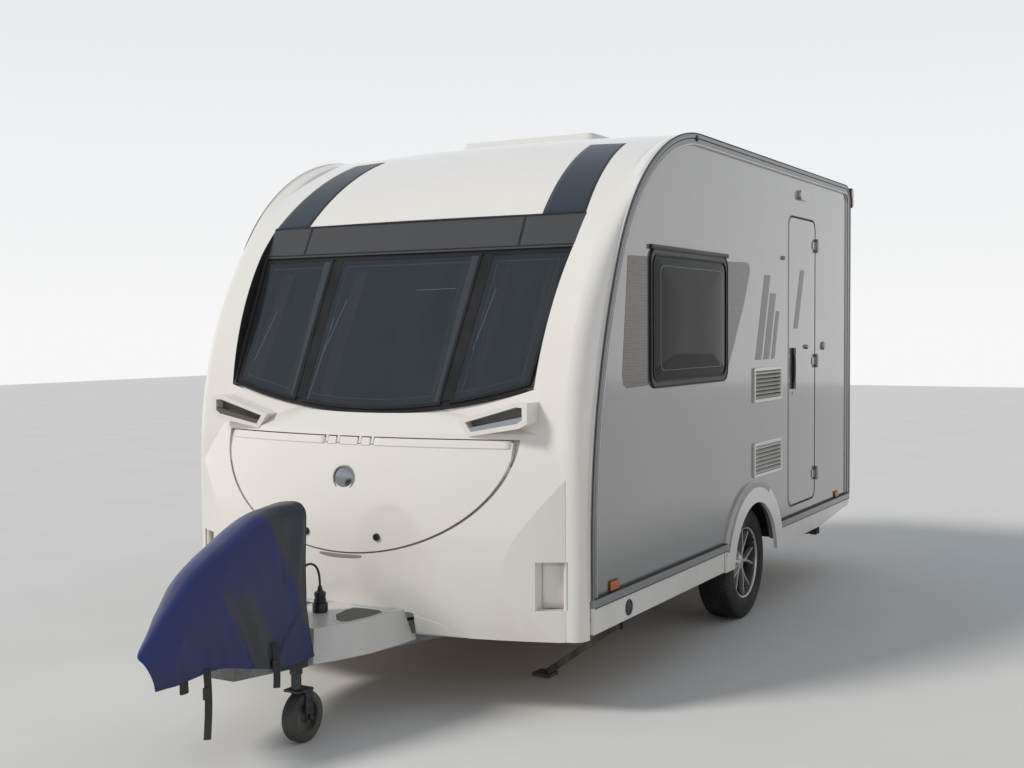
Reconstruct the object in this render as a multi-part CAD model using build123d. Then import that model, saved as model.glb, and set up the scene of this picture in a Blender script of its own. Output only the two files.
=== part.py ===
"""Small two-berth touring caravan, parked on its wheels, jockey wheel and front steadies.

+X is the side with the entrance door, -Y is the front with the coupling, +Z is up.
The model is laid out with the axle at Y 0 and the ground at Z 0, and is shifted at the end
so that the origin is the bottom centre of the whole caravan's box. All sizes are in mm.
"""
from build123d import *
from math import asin, atan2, cos, degrees, radians, sin, sqrt, tan
import os

LEFT, RIGHT = 1, -1
SIDES = (LEFT, RIGHT)

# Body
HALF_W = 1045          # centre line to the outer skin of a side wall
WALL = 30              # sandwich wall
INNER_W = HALF_W - WALL
FLOOR_T = 40
FLOOR_Z = 400          # underside of the floor
EDGE_Z = 2540          # top of a side wall
CROWN = 38             # the roof's centre above the side walls
NOSE_Y = -2066         # foremost line of a side wall
NOSE_Z = 700
BROW_R = 1050          # upper arc of the side outline
BROW_Y = -840          # where that arc meets the level roof line
REAR_Y = 1865
REAR_R = 110
LIP = 8                # the end mouldings lap the wall edge by this
REAR_SEAM_Y = REAR_Y - 160
FLOOR_FRONT_Y = NOSE_Y + WALL

# Front moulding
CORNER = 75            # width of the rounded front corner
PILLAR_R = 1500
PILLAR_Y = -2148
PILLAR_Z = 1065        # centre height of the pillar's arc
CHIN_Z = 325           # lower edge of the front moulding
BULGE_AXIS_Y = 328     # the locker bulge is turned about a vertical line here
BULGE_Y = -2372        # foremost point of the bulge
BULGE_Z = 620
BULGE_PLAN = ((0, -18), (560, 52), (800, 127))     # x, and y behind the foremost point
BULGE_BACK = 60        # it ends this far behind the walls' foremost line
BULGE_UP_R = 1840
BULGE_LOW_R = 1400
LEDGE_Z = 1172         # where the ledge under the windows starts
LEDGE_RISE = 92
LEDGE_RUN = 125
CHIN_ARCH = [(-640, 300), (-470, 384), (-335, 421)]    # x, z of the notch for the drawbar

# Front windows lie in one leaning plane
PANE_Y = -2199         # the plane at PANE_Z
PANE_Z = 1200
PANE_RUN = 0.51        # backwards for each unit up
WIN_TOP = 866          # measured up the plane
WIN_TOP_HALF = 868
WIN_LOW_OUT = 173
WIN_LOW_HALF = 815
WIN_LOW_MID = 43
SPLIT_TOP = 417        # divider centre lines
SPLIT_LOW = 392
SPLIT_W = 46
PANE_T = 20
RECESS = 25
SEAT = 50              # width of the ledge that carries the window frame
COLLAR = 18            # moulding behind that ledge
BAND_LOW = WIN_TOP     # the band sits on the panes' recess
BAND_TOP = 1030
BAND_T = 12
CHEEK = 10

# Locker lid, a half ellipse seen from the front, hung on two pins
LID_HALF = 782
LID_TOP_Z = 1150
LID_DEPTH = 500
LID_T = 18
LID_SIDE_GAP = 17
LID_CORNER_GAP = 27    # the upper corners sweep down past the opening's edge
LID_LOW_GAP = 7
LID_TOP_GAP = 12
SHELL_T = 26
FLANGE_W = 38          # rebate behind the lid's edge
FLANGE_GAP = 2.5
FLANGE_LOW = 110       # it ends this far below the lid's top, where the corners sweep down
LOCKER_HALF = 840
LID_HINGE_X = (-90, 90)
LID_PIN_L = 72
LID_PIN_R = 4
LID_AXIS = (-2289, 1131)         # y, z of the lid's hinge line
EAR_T = 8
EAR_GAP = 5
LOCK_R = 15
LOCK_X, LOCK_Z = 188, 731
BULKHEAD_Y = FLOOR_FRONT_Y + 300

# Door in the wall on the +X side
DOOR_Y0, DOOR_Y1 = 572, 1094
DOOR_Z0, DOOR_Z1 = 552, 2258
DOOR_GAP = 5
DOOR_R = 60
PIN_R = 5
RUN = 0.06             # running clearance at pins
KNUCKLE_R = 8
KNUCKLE_H = 44
DOOR_PIN = (HALF_W + 12, DOOR_Y1 + 14)
HINGE_ZS = (700, 1400, 2110)
HANDLE_Y, HANDLE_Z = 650, 1365

# Side windows and vents: y0, y1, z0, z1
LOUNGE_WIN = (-1448, -478, 1345, 1960)
KITCHEN_WIN = (60, 900, 1400, 1960)
WIN_R = 60
WIN_PROUD = 16
VENTS = [(-50, 420, 788, 971), (-50, 420, 1200, 1383)]
VENT_EDGE = 14
LOUVRES = 7

# Roof hatch
POD_X, POD_Y = -100, -200
POD_W, POD_L = 860, 700
POD_LIP = 20           # its foot above the roof
POD_H = 62             # its dome above the foot
POD_EDGE = 90
POD_Z = EDGE_Z + CROWN + POD_LIP
POD_SLOPE = 25
POD_R = 60
POD_SKIN = 8

# Skirts, trims, wheel arches
RAIL_IN, RAIL_PROUD = 52, 12
SKIRT_FRONT_Y = NOSE_Y + 8
SKIRT_Z = 345
KICK_Y, KICK_Z = 1158, 418
TRIM_Z = 455
TRIM_H = 34
SKIRT_T = 14
SKIRT_IN = 20
ARCH_R = 352
ARCH_Y, ARCH_Z = -40, 300
BOX_R = 412            # wheel box
BOX_W = 250
BOX_T = 5
SPAT_R = 480
SPAT_Y, SPAT_Z = -48, 285
SPAT_T = 20

# Running gear
TYRE_R = 310
TYRE_W = 190
RIM_R = 196
WHEEL_X = HALF_W - 145 # tyre centre plane
SPINDLE_R = 16
SPOKES = 5
ARM_OUT = 38           # half the width of a pair of spoke arms at the rim
ARM_LEAN = 12
AXLE_R = 50
AXLE_Y, AXLE_Z = -170, 200
ARM_X, ARM_W = HALF_W - 325, 40
AXLE_HALF = ARM_X - ARM_W / 2   # the beam ends on the arms' inner faces

# Chassis
RAIL_X = 450
RAIL_H = 140
RAIL_W = 50
PLATE = 5
RAIL_FRONT_Y = -1900
DRAW_REAR_Y = RAIL_FRONT_Y - 6     # a plate on each rail takes the drawbar's end
DRAW_Z = 380           # top of the drawbar beams
DRAW_H = 100
DRAW_W = 44
DRAW_TIP_Y = -3120
DRAW_TIP_X = 42
DRAW_REAR_X = 430

# Coupling
BALL_Y = -3430
BALL_Z = 425
BALL_R = 25.2
SOCKET_L = 26
TUBE_R = 26
HOUSING_L = 240
HEAD_H = 70

# Jockey wheel
JOCKEY_X, JOCKEY_Y = 185, -2900
JOCKEY_R = 100
JOCKEY_W = 60
JOCKEY_AXLE_R = 8
TRAIL = 35
STEM_R = 20
OUTER_R = 25
STEM_LOW, STEM_TOP = 215, 400
OUTER_LOW, OUTER_TOP = 275, 500
FORK_T = 5

# Corner steadies: pivot, reach and the leg's angles below level
STEADY_X = HALF_W - 115
STEADY_FRONT_Y = -1570
STEADY_REAR_Y = 1500
PIVOT_Z = 270
PIVOT_R = 8
STEADY_LEN = 448
FOOT_T = 16
STEADY_DOWN = degrees(asin((PIVOT_Z - FOOT_T / 2) / STEADY_LEN))
STEADY_UP = 7


def yz(y, z):
    return Vector(0, y, z)


def front_radius():
    """Radius of the lower arc, so that it meets the upper one in tangent."""
    dy = BROW_Y - NOSE_Y
    dz = EDGE_Z - BROW_R - NOSE_Z
    return (dy * dy + dz * dz - BROW_R ** 2) / (2 * (dy - BROW_R))


def brow_points(grow):
    """Mid point of the lower arc, joint of the arcs, mid point of the upper arc, as y, z."""
    low_y = NOSE_Y + front_radius()
    brow_z = EDGE_Z - BROW_R
    r2, r1 = front_radius() + grow, BROW_R + grow
    turn = atan2(brow_z - NOSE_Z, BROW_Y - low_y)
    h2, h1 = (turn + radians(180)) / 2, (turn + radians(90)) / 2
    return [(low_y + r2 * cos(h2), NOSE_Z + r2 * sin(h2)), (low_y + r2 * cos(turn), NOSE_Z + r2 * sin(turn)),
            (BROW_Y + r1 * cos(h1), brow_z + r1 * sin(h1))]


def side_outline(grow=0.0, low=FLOOR_Z):
    """Face of the side wall's outline, grown outwards by grow."""
    top, front, rear = EDGE_Z + grow, NOSE_Y - grow, REAR_Y + grow
    low_mid, join, high_mid = brow_points(grow)
    bend = (REAR_R + grow) * sin(radians(45))
    turn = (REAR_Y - REAR_R + bend, EDGE_Z - REAR_R + bend)
    return Face(Wire([
        Line(yz(front, low), yz(front, NOSE_Z)),
        ThreePointArc(yz(front, NOSE_Z), yz(*low_mid), yz(*join)),
        ThreePointArc(yz(*join), yz(*high_mid), yz(BROW_Y, top)),
        Line(yz(BROW_Y, top), yz(REAR_Y - REAR_R, top)),
        ThreePointArc(yz(REAR_Y - REAR_R, top), yz(*turn), yz(rear, EDGE_Z - REAR_R)),
        Line(yz(rear, EDGE_Z - REAR_R), yz(rear, low)),
        Line(yz(rear, low), yz(front, low)),
    ]))


def prism_x(face, x0, x1):
    return Pos(x0, 0, 0) * extrude(face, x1 - x0, dir=(1, 0, 0))


def block(x0, x1, y0, y1, z0, z1):
    return Pos((x0 + x1) / 2, (y0 + y1) / 2, (z0 + z1) / 2) * Box(x1 - x0, y1 - y0, z1 - z0)


def side_block(side, d0, d1, y0, y1, z0, z1):
    """Box on one side; d0 and d1 are counted outwards from the wall's skin."""
    x0, x1 = sorted((side * (HALF_W + d0), side * (HALF_W + d1)))
    return block(x0, x1, y0, y1, z0, z1)


def side_disc(side, d0, d1, y, z, r):
    x0, x1 = sorted((side * (HALF_W + d0), side * (HALF_W + d1)))
    return Pos(x0, y, z) * extrude(Plane.YZ * Circle(r), x1 - x0)


def side_panel(side, d0, d1, y0, y1, z0, z1, r):
    """Plate with rounded corners, in the same terms."""
    x0, x1 = sorted((side * (HALF_W + d0), side * (HALF_W + d1)))
    face = Plane.YZ * Pos((y0 + y1) / 2, (z0 + z1) / 2) * RectangleRounded(y1 - y0, z1 - z0, r)
    return Pos(x0, 0, 0) * extrude(face, x1 - x0)


def group(*shapes):
    """Several solids in one node."""
    return Compound([s for shape in shapes for s in shape.solids()])


def rod(p, q, r):
    """Round bar from p to q."""
    a, b = Vector(*p), Vector(*q)
    line = b - a
    return extrude(Plane(origin=a, z_dir=line) * Circle(r), line.length)


def upright(x, y, z0, z1, r):
    return rod((x, y, z0), (x, y, z1), r)


# Front moulding: outlines at stations across, lofted
def front_keys(kind):
    """Key points (y, z) of a front outline, from the chin up to the roof joint."""
    if kind == "edge":
        low_mid, join, high_mid = brow_points(LIP)
        front = NOSE_Y - LIP
        return [(front, CHIN_Z), (front, NOSE_Z), low_mid, join, high_mid, (BROW_Y, EDGE_Z + LIP)]
    cz = PILLAR_Z + (CROWN - LIP - 5 if kind == "centre" else 0)
    cy = PILLAR_Y + PILLAR_R
    end = atan2(sqrt(PILLAR_R ** 2 - (BROW_Y - cy) ** 2), BROW_Y - cy)
    turns = [radians(180) + (end - radians(180)) * k for k in (0, 0.22, 0.45, 0.72, 1)]
    return [(PILLAR_Y, CHIN_Z)] + [(cy + PILLAR_R * cos(a), cz + PILLAR_R * sin(a)) for a in turns]


def front_section(x, keys):
    p = [Vector(x, y, z) for y, z in keys]
    back_low = Vector(x, BROW_Y, CHIN_Z)
    return Face(Wire([Line(p[0], p[1]), ThreePointArc(p[1], p[2], p[3]), ThreePointArc(p[3], p[4], p[5]),
                      Line(p[5], back_low), Line(back_low, p[0])]))


def blend(a, b, t):
    return [(p[0] + (q[0] - p[0]) * t, p[1] + (q[1] - p[1]) * t) for p, q in zip(a, b)]


edge_keys, pillar_keys, centre_keys = front_keys("edge"), front_keys("pillar"), front_keys("centre")
corner_shares = (0, 0.16, 0.47, 1)      # how far in across the corner each station lies
corner_steps = [(CORNER * k, sqrt(1 - (1 - k) ** 2)) for k in corner_shares]
corner = loft([front_section(HALF_W - s, blend(edge_keys, pillar_keys, t)) for s, t in corner_steps])
middle = loft([front_section(-(HALF_W - CORNER), pillar_keys), front_section(0, centre_keys),
               front_section(HALF_W - CORNER, pillar_keys)])


def sagitta(r, h):
    return r - sqrt(r ** 2 - h ** 2)


def bulge_half(inset):
    """Half of the locker bulge: a profile turned about a vertical axis."""
    nose = BULGE_Y + inset
    up_r, low_r = BULGE_UP_R - inset, BULGE_LOW_R - inset
    top, low = LEDGE_Z - inset, CHIN_Z + inset
    y_top, y_low = nose + sagitta(up_r, top - BULGE_Z), nose + sagitta(low_r, BULGE_Z - low)
    up, down = (top - BULGE_Z) / 2, (BULGE_Z - low) / 2
    back = BULGE_AXIS_Y - 900
    face = Face(Wire([
        ThreePointArc(yz(y_low, low), yz(nose + sagitta(low_r, down), BULGE_Z - down), yz(nose, BULGE_Z)),
        ThreePointArc(yz(nose, BULGE_Z), yz(nose + sagitta(up_r, up), BULGE_Z + up), yz(y_top, top)),
        Line(yz(y_top, top), yz(y_top + LEDGE_RUN, top + LEDGE_RISE)),
        Line(yz(y_top + LEDGE_RUN, top + LEDGE_RISE), yz(back, top + LEDGE_RISE)),
        Line(yz(back, top + LEDGE_RISE), yz(back, low)),
        Line(yz(back, low), yz(y_low, low)),
    ]))
    return revolve(face, Axis((0, BULGE_AXIS_Y, 0), (0, 0, 1)), 30)


def bulge(inset=0.0):
    """Turned both ways from the middle; seen from above its ends are rounded into the corners."""
    half = bulge_half(inset)
    reach = HALF_W - CORNER + 5 - inset
    tip, *ends = [(x, BULGE_Y + y + inset) for x, y in BULGE_PLAN] + [(reach, PILLAR_Y - 2 + inset)]
    lefts = [(-x, y) for x, y in ends]
    back = NOSE_Y + BULGE_BACK
    plan = Face(Wire([
        ThreePointArc(lefts[0], tip, ends[0]),
        ThreePointArc(*ends),
        Line(ends[2], (reach, back)),
        Line((reach, back), (-reach, back)),
        Line((-reach, back), lefts[2]),
        ThreePointArc(lefts[2], lefts[1], lefts[0]),
    ]))
    return (half + mirror(half, about=Plane.YZ)) & (Pos(0, 0, CHIN_Z) * extrude(plan, 1000, dir=(0, 0, 1)))


pane_normal = Vector(0, -1, PANE_RUN).normalized()
pane_plane = Plane(origin=(0, PANE_Y, PANE_Z), x_dir=(1, 0, 0), z_dir=pane_normal)


def window_group(grow=0.0):
    """Outline of the three front windows in their plane: the lower edge is an arc."""
    top, low, mid = WIN_TOP + grow, WIN_LOW_OUT - grow, WIN_LOW_MID - grow
    half_t, half_l = WIN_TOP_HALF + grow, WIN_LOW_HALF + grow
    return Face(Wire([Line((half_t, top), (-half_t, top)), Line((-half_t, top), (-half_l, low)),
                      ThreePointArc((-half_l, low), (0, mid), (half_l, low)), Line((half_l, low), (half_t, top))]))


def on_pane(face, d0, d1):
    """Extrude a face of the window plane from depth d0 to d1 along its outward normal."""
    return pane_plane.offset(d0) * extrude(face, d1 - d0)


def band_face(grow=0.0):
    return Pos(0, (BAND_LOW + BAND_TOP) / 2) * Rectangle(2 * (WIN_TOP_HALF + grow), BAND_TOP - BAND_LOW + 2 * grow)


def pillar_cavity():
    """Cabin space behind the front panel between the corners, with a collar left round the windows."""
    cy, r = PILLAR_Y + PILLAR_R, PILLAR_R - WALL
    top = PILLAR_Z + sqrt(r ** 2 - (BROW_Y - cy) ** 2)
    turn = (radians(180) + atan2(top - PILLAR_Z, BROW_Y - cy)) / 2
    front = PILLAR_Y + WALL
    face = Face(Wire([
        Line(yz(front, FLOOR_Z), yz(front, PILLAR_Z)),
        ThreePointArc(yz(front, PILLAR_Z), yz(cy + r * cos(turn), PILLAR_Z + r * sin(turn)), yz(BROW_Y, top)),
        Line(yz(BROW_Y, top), yz(BROW_Y, FLOOR_Z)),
        Line(yz(BROW_Y, FLOOR_Z), yz(front, FLOOR_Z)),
    ]))
    half = HALF_W - CORNER - 30
    space = prism_x(face, -half, half)
    space = space - on_pane(window_group(40), -RECESS - COLLAR, 200)
    return space - on_pane(band_face(20), -BAND_T - COLLAR, 200)


def lid_prism(side_gap, low_gap, top_gap, corner_gap):
    """Half ellipse of the locker lid, run along Y through the bulge."""
    half = Ellipse(LID_HALF - side_gap, LID_DEPTH - low_gap)
    half = half & Pos(0, -LID_DEPTH / 2 - top_gap) * Rectangle(2 * (LID_HALF - corner_gap), LID_DEPTH)
    return Pos(0, BULGE_Y - 60, LID_TOP_Z) * extrude(Plane.XZ * half, 600, dir=(0, 1, 0))


def lid_ears():
    """Ears and pins on the panel's lip, in notches of the lid's top edge."""
    y, z = LID_AXIS
    ears = []
    for x in LID_HINGE_X:
        ear = rod((x - LID_PIN_L / 2, y, z), (x + LID_PIN_L / 2, y, z), LID_PIN_R)
        for end in SIDES:
            ear_x = x + end * (LID_PIN_L - EAR_T) / 2
            ear = ear + block(ear_x - EAR_T / 2, ear_x + EAR_T / 2, y - 2, y + 18, z - 7, LID_TOP_Z + 2)
        ears.append(ear)
    return ears


GRAB = (868, 985, 455, 655)      # x0, x1, z0, z1 of the recess in each front corner
# x, z of the raised pod beside the lid's upper corner, of its recess and of the bar across that
POD_PLAN = [(516, 1226), (566, 1160), (806, 1200), (846, 1222), (846, 1306), (792, 1308)]
WELL_PLAN = [(550, 1219), (578, 1180), (800, 1221), (822, 1236), (822, 1286), (794, 1288)]
BAR_PLAN = [(566, 1196), (578, 1180), (800, 1221), (822, 1236), (822, 1250), (796, 1244)]
POD_FRONT_Y = -2232
WELL_DEPTH = 46
BAR_T = 24


def across(plan, y, run):
    """Plan in x, z run backwards from y, on both sides."""
    one = Pos(0, y, 0) * extrude(Plane.XZ * make_face(Polyline(*plan, close=True)), run, dir=(0, 1, 0))
    return one + mirror(one, about=Plane.YZ)


def make_front():
    cavity = prism_x(side_outline(-WALL, 250), -INNER_W, INNER_W)
    wing = corner - prism_x(side_outline(0, 250), INNER_W, HALF_W + 5) - cavity
    shape = (middle - cavity - pillar_cavity()) + wing + mirror(wing, about=Plane.YZ) + (bulge() - cavity)
    hollow = bulge(SHELL_T) & block(-LOCKER_HALF, LOCKER_HALF, BULGE_Y, NOSE_Y + BULGE_BACK, CHIN_Z + 30,
                                    LEDGE_Z + 40)
    shape = shape - hollow
    shape = shape + (across(POD_PLAN, POD_FRONT_Y, PILLAR_Y + WALL - POD_FRONT_Y) - bulge(SHELL_T) - cavity)
    shape = shape - across(WELL_PLAN, POD_FRONT_Y - 1, WELL_DEPTH + 1)
    shape = shape - on_pane(window_group(), -RECESS, 400) - on_pane(window_group(-SEAT), -300, 0)
    shape = shape - on_pane(band_face(), -BAND_T, 300)
    mouth = lid_prism(0, 0, 0, 0)
    inner = lid_prism(FLANGE_W, FLANGE_W, 0, 0)
    inner = inner + (mouth & block(-HALF_W, HALF_W, BULGE_Y - BULGE_BACK, NOSE_Y + BULGE_BACK,
                                   LID_TOP_Z - FLANGE_LOW, LID_TOP_Z))
    shape = shape - (mouth - bulge(LID_T + FLANGE_GAP)) - inner
    mirrored = [(-x, z) for x, z in reversed(CHIN_ARCH)]
    notch = make_face(Polyline(*CHIN_ARCH, *mirrored, close=True))
    shape = shape - Pos(0, BULGE_Y - 60, 0) * extrude(Plane.XZ * notch, 700, dir=(0, 1, 0))
    for side in SIDES:
        x0, x1 = sorted((side * GRAB[0], side * GRAB[1]))
        shape = shape - block(x0, x1, BULGE_Y, PILLAR_Y + 38, GRAB[2], GRAB[3])
    for ear in lid_ears():
        shape = shape + ear
    return shape


parts = {}
parts["front_panel"] = make_front()

# Front windows and their frame, the header band with the dark cheeks beside the panes


def divider(side):
    """Strip between two panes, leaning outwards towards the top."""
    low, high, h = side * SPLIT_LOW, side * SPLIT_TOP, SPLIT_W / 2
    top = WIN_TOP + 50
    return make_face(Polyline((low - h, -200), (low + h, -200), (high + h, top), (high - h, top), close=True))


dividers = divider(LEFT) + divider(RIGHT)
panes = on_pane(window_group(-24) - dividers, -PANE_T - 2, -2)
frame = on_pane(window_group(-CHEEK - 1), -RECESS, -8) - on_pane(window_group(-SEAT), -RECESS - 1, 0)
bars = on_pane(window_group(-40) & dividers, -RECESS, -4)
parts["front_window_panes"] = panes
parts["front_window_frame"] = (frame + bars) - panes
cheek = (window_group() - window_group(-CHEEK)) & Pos(0, WIN_TOP / 2 + 90) * Rectangle(2 * HALF_W, WIN_TOP - 170)
parts["header_band"] = on_pane(band_face(), -BAND_T, 0) + on_pane(cheek, -BAND_T, 0)


# Side walls
def make_wall(side):
    x0, x1 = sorted((side * INNER_W, side * HALF_W))
    wall = prism_x(side_outline(), x0, x1)
    wall = wall - side_panel(side, -WALL - 1, 1, *LOUNGE_WIN, WIN_R)
    wall = wall - side_disc(side, -WALL - 1, 1, ARCH_Y, ARCH_Z, ARCH_R + 20)
    if side == RIGHT:
        return wall - side_panel(side, -WALL - 1, 1, *KITCHEN_WIN, WIN_R)
    for y0, y1, z0, z1 in VENTS:
        cut = VENT_EDGE - 2
        wall = wall - side_block(side, -WALL - 1, 1, y0 + cut, y1 - cut, z0 + cut, z1 - cut)
    return wall - side_panel(side, -WALL - 1, 1, DOOR_Y0, DOOR_Y1, DOOR_Z0, DOOR_Z1, DOOR_R)


parts["wall_left"] = make_wall(LEFT)
parts["wall_right"] = make_wall(RIGHT)


def side_window(size, side):
    """Bulged acrylic pane and its black frame."""
    y0, y1, z0, z1 = size
    inset, lap = 28, 12
    pane = side_panel(side, -WALL + 4, WIN_PROUD, y0 + inset, y1 - inset, z0 + inset, z1 - inset, WIN_R - 15)
    lip = side_panel(side, 0, 8, y0 - lap, y1 + lap, z0 - lap, z1 + lap, WIN_R + 10)
    seat = side_panel(side, -WALL, 0, y0, y1, z0, z1, WIN_R)
    return pane, (lip + seat) - pane


windows = [side_window(LOUNGE_WIN, LEFT), side_window(LOUNGE_WIN, RIGHT), side_window(KITCHEN_WIN, RIGHT)]
parts["side_window_panes"] = group(*[pane for pane, _ in windows])
parts["side_window_frames"] = group(*[surround for _, surround in windows])

louvred = []
for y0, y1, z0, z1 in VENTS:
    vent = side_block(LEFT, 0, 10, y0, y1, z0, z1)
    vent = vent - side_block(LEFT, -1, 11, y0 + VENT_EDGE, y1 - VENT_EDGE, z0 + VENT_EDGE, z1 - VENT_EDGE)
    pitch = (z1 - z0 - 2 * VENT_EDGE) / LOUVRES
    for k in range(LOUVRES):
        place = Pos(HALF_W + 2, (y0 + y1) / 2, z0 + VENT_EDGE + pitch * (k + 0.5))
        vent = vent + place * Rot(0, 35, 0) * Box(20, y1 - y0 - 2 * VENT_EDGE + 2, 3)
    louvred.append(vent)
parts["wall_vents"] = group(*louvred)


# Roof, rear moulding and floor
def crown_section():
    """Section of the roof: arched outside and inside, stepped down between the walls."""
    y, top, edge, low = BROW_Y, EDGE_Z + CROWN, EDGE_Z + LIP, EDGE_Z - WALL
    return Face(Wire([
        Line((-HALF_W, y, EDGE_Z), (-HALF_W, y, edge)),
        ThreePointArc((-HALF_W, y, edge), (0, y, top), (HALF_W, y, edge)),
        Line((HALF_W, y, edge), (HALF_W, y, EDGE_Z)),
        Line((HALF_W, y, EDGE_Z), (INNER_W, y, EDGE_Z)),
        Line((INNER_W, y, EDGE_Z), (INNER_W, y, low)),
        ThreePointArc((INNER_W, y, low), (0, y, top - WALL), (-INNER_W, y, low)),
        Line((-INNER_W, y, low), (-INNER_W, y, EDGE_Z)),
        Line((-INNER_W, y, EDGE_Z), (-HALF_W, y, EDGE_Z)),
    ]))


roof = extrude(crown_section(), REAR_SEAM_Y - BROW_Y, dir=(0, 1, 0))
hatch_w, hatch_l = POD_W / 2 - POD_EDGE, POD_L / 2 - POD_EDGE
roof = roof - block(POD_X - hatch_w, POD_X + hatch_w, POD_Y - hatch_l, POD_Y + hatch_l, EDGE_Z - 2 * WALL, POD_Z)
pod_foot = block(POD_X - POD_W / 2, POD_X + POD_W / 2, POD_Y - POD_L / 2, POD_Y + POD_L / 2,
                 POD_Z - POD_LIP - LIP, POD_Z)
pod_plan = Pos(POD_X, POD_Y, POD_Z) * RectangleRounded(POD_W, POD_L, POD_R)
parts["roof"] = roof
pod = pod_foot + extrude(pod_plan, POD_H, taper=POD_SLOPE) - roof
pod = pod - block(POD_X - hatch_w, POD_X + hatch_w, POD_Y - hatch_l, POD_Y + hatch_l, POD_Z - 2 * POD_LIP, POD_Z)
pod_room = Pos(POD_X, POD_Y, POD_Z) * Rectangle(2 * hatch_w, 2 * hatch_l)
parts["rooflight"] = pod - extrude(pod_room, POD_H - POD_SKIN, taper=POD_SLOPE)

rear_skin = prism_x(side_outline(LIP), -HALF_W, HALF_W)
shell = rear_skin - prism_x(side_outline(-WALL, 300), -INNER_W, INNER_W)
for side in SIDES:
    x0, x1 = sorted((side * INNER_W, side * (HALF_W + 5)))
    shell = shell - prism_x(side_outline(0, 300), x0, x1)
parts["rear_panel"] = shell & block(-HALF_W, HALF_W, REAR_SEAM_Y, REAR_Y + 60, FLOOR_Z, EDGE_Z + 60)

floor = block(-INNER_W, INNER_W, FLOOR_FRONT_Y, REAR_Y - WALL, FLOOR_Z, FLOOR_Z + FLOOR_T)
boxes = []
for side in SIDES:
    drum = side_disc(side, -WALL - BOX_W, -WALL, ARCH_Y, ARCH_Z, BOX_R + BOX_T)
    inside = side_disc(side, -WALL - BOX_W + BOX_T, -WALL + 1, ARCH_Y, ARCH_Z, BOX_R)
    boxes.append((drum - inside) & block(-HALF_W, HALF_W, ARCH_Y - 500, ARCH_Y + 500, FLOOR_Z, FLOOR_Z + 400))
    floor = floor - drum
parts["floor"] = floor
parts["wheel_boxes"] = group(*boxes)
parts["locker_bulkhead"] = block(-INNER_W, INNER_W, BULKHEAD_Y, BULKHEAD_Y + 18, FLOOR_Z + FLOOR_T, 1210)

# Awning rails, skirts, trims and wheel arch mouldings
rails, skirts, strips, spats = [], [], [], []
for side in SIDES:
    x0, x1 = sorted((side * HALF_W, side * (HALF_W + RAIL_PROUD)))
    inner = prism_x(side_outline(-RAIL_IN, 300), x0 - 1, x1 + 1)
    rails.append(prism_x(side_outline(LIP, TRIM_Z + TRIM_H), x0, x1) - inner)
    x0, x1 = sorted((side * (HALF_W - SKIRT_IN), side * (HALF_W + SKIRT_T)))
    outline = make_face(Polyline((SKIRT_FRONT_Y, SKIRT_Z), (KICK_Y, SKIRT_Z + 10), (REAR_Y - 20, KICK_Z),
                                 (REAR_Y - 20, TRIM_Z), (SKIRT_FRONT_Y, TRIM_Z), close=True))
    panel = Pos(x0, 0, 0) * extrude(Plane.YZ * outline, x1 - x0)
    wall_foot = side_block(side, -SKIRT_IN - 1, 0, SKIRT_FRONT_Y - 5, REAR_Y, FLOOR_Z, TRIM_Z + 5)
    disc = side_disc(side, -40, 60, SPAT_Y, SPAT_Z, SPAT_R)
    skirts.append(panel - wall_foot - disc)
    strips.append(side_block(side, 0, SKIRT_T + 4, SKIRT_FRONT_Y, REAR_Y - 10, TRIM_Z, TRIM_Z + TRIM_H) - disc)
    spat = side_disc(side, 0, SPAT_T, SPAT_Y, SPAT_Z, SPAT_R) - side_disc(side, -1, 60, ARCH_Y, ARCH_Z, ARCH_R)
    spats.append(spat & block(-1200, 1200, SPAT_Y - 600, SPAT_Y + 600, SKIRT_Z, 900))
parts["awning_rails"] = group(*rails)
parts["skirts"] = group(*skirts)
parts["sill_trims"] = group(*strips)
parts["arch_trims"] = group(*spats)

# Gas locker lid: shell, hinge notches, two turn locks
lid = (bulge() - bulge(LID_T)) & lid_prism(LID_SIDE_GAP, LID_LOW_GAP, LID_TOP_GAP, LID_CORNER_GAP)
hinge_y, hinge_z = LID_AXIS
for x in LID_HINGE_X:
    for end in SIDES:
        ear_x = x + end * (LID_PIN_L - EAR_T) / 2
        half = EAR_T / 2 + EAR_GAP
        lid = lid - block(ear_x - half, ear_x + half, hinge_y - 30, hinge_y + 30, hinge_z - 15, LID_TOP_Z)
    lid = lid - rod((x - 60, hinge_y, hinge_z), (x + 60, hinge_y, hinge_z), LID_PIN_R + RUN)
for x in (-LOCK_X, LOCK_X):
    lid = lid + rod((x, BULGE_Y + 2, LOCK_Z), (x, BULGE_Y + 24, LOCK_Z), LOCK_R)
parts["locker_lid"] = lid

# Grips beside the lid's upper corners, bars in the front corner recesses
grips = [across(BAR_PLAN, POD_FRONT_Y, BAR_T) - parts["front_panel"]]
for side in SIDES:
    grips.append(upright(side * (GRAB[1] - 14), PILLAR_Y + 12, GRAB[2], GRAB[3], 9))
parts["front_grips"] = group(*grips)

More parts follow.
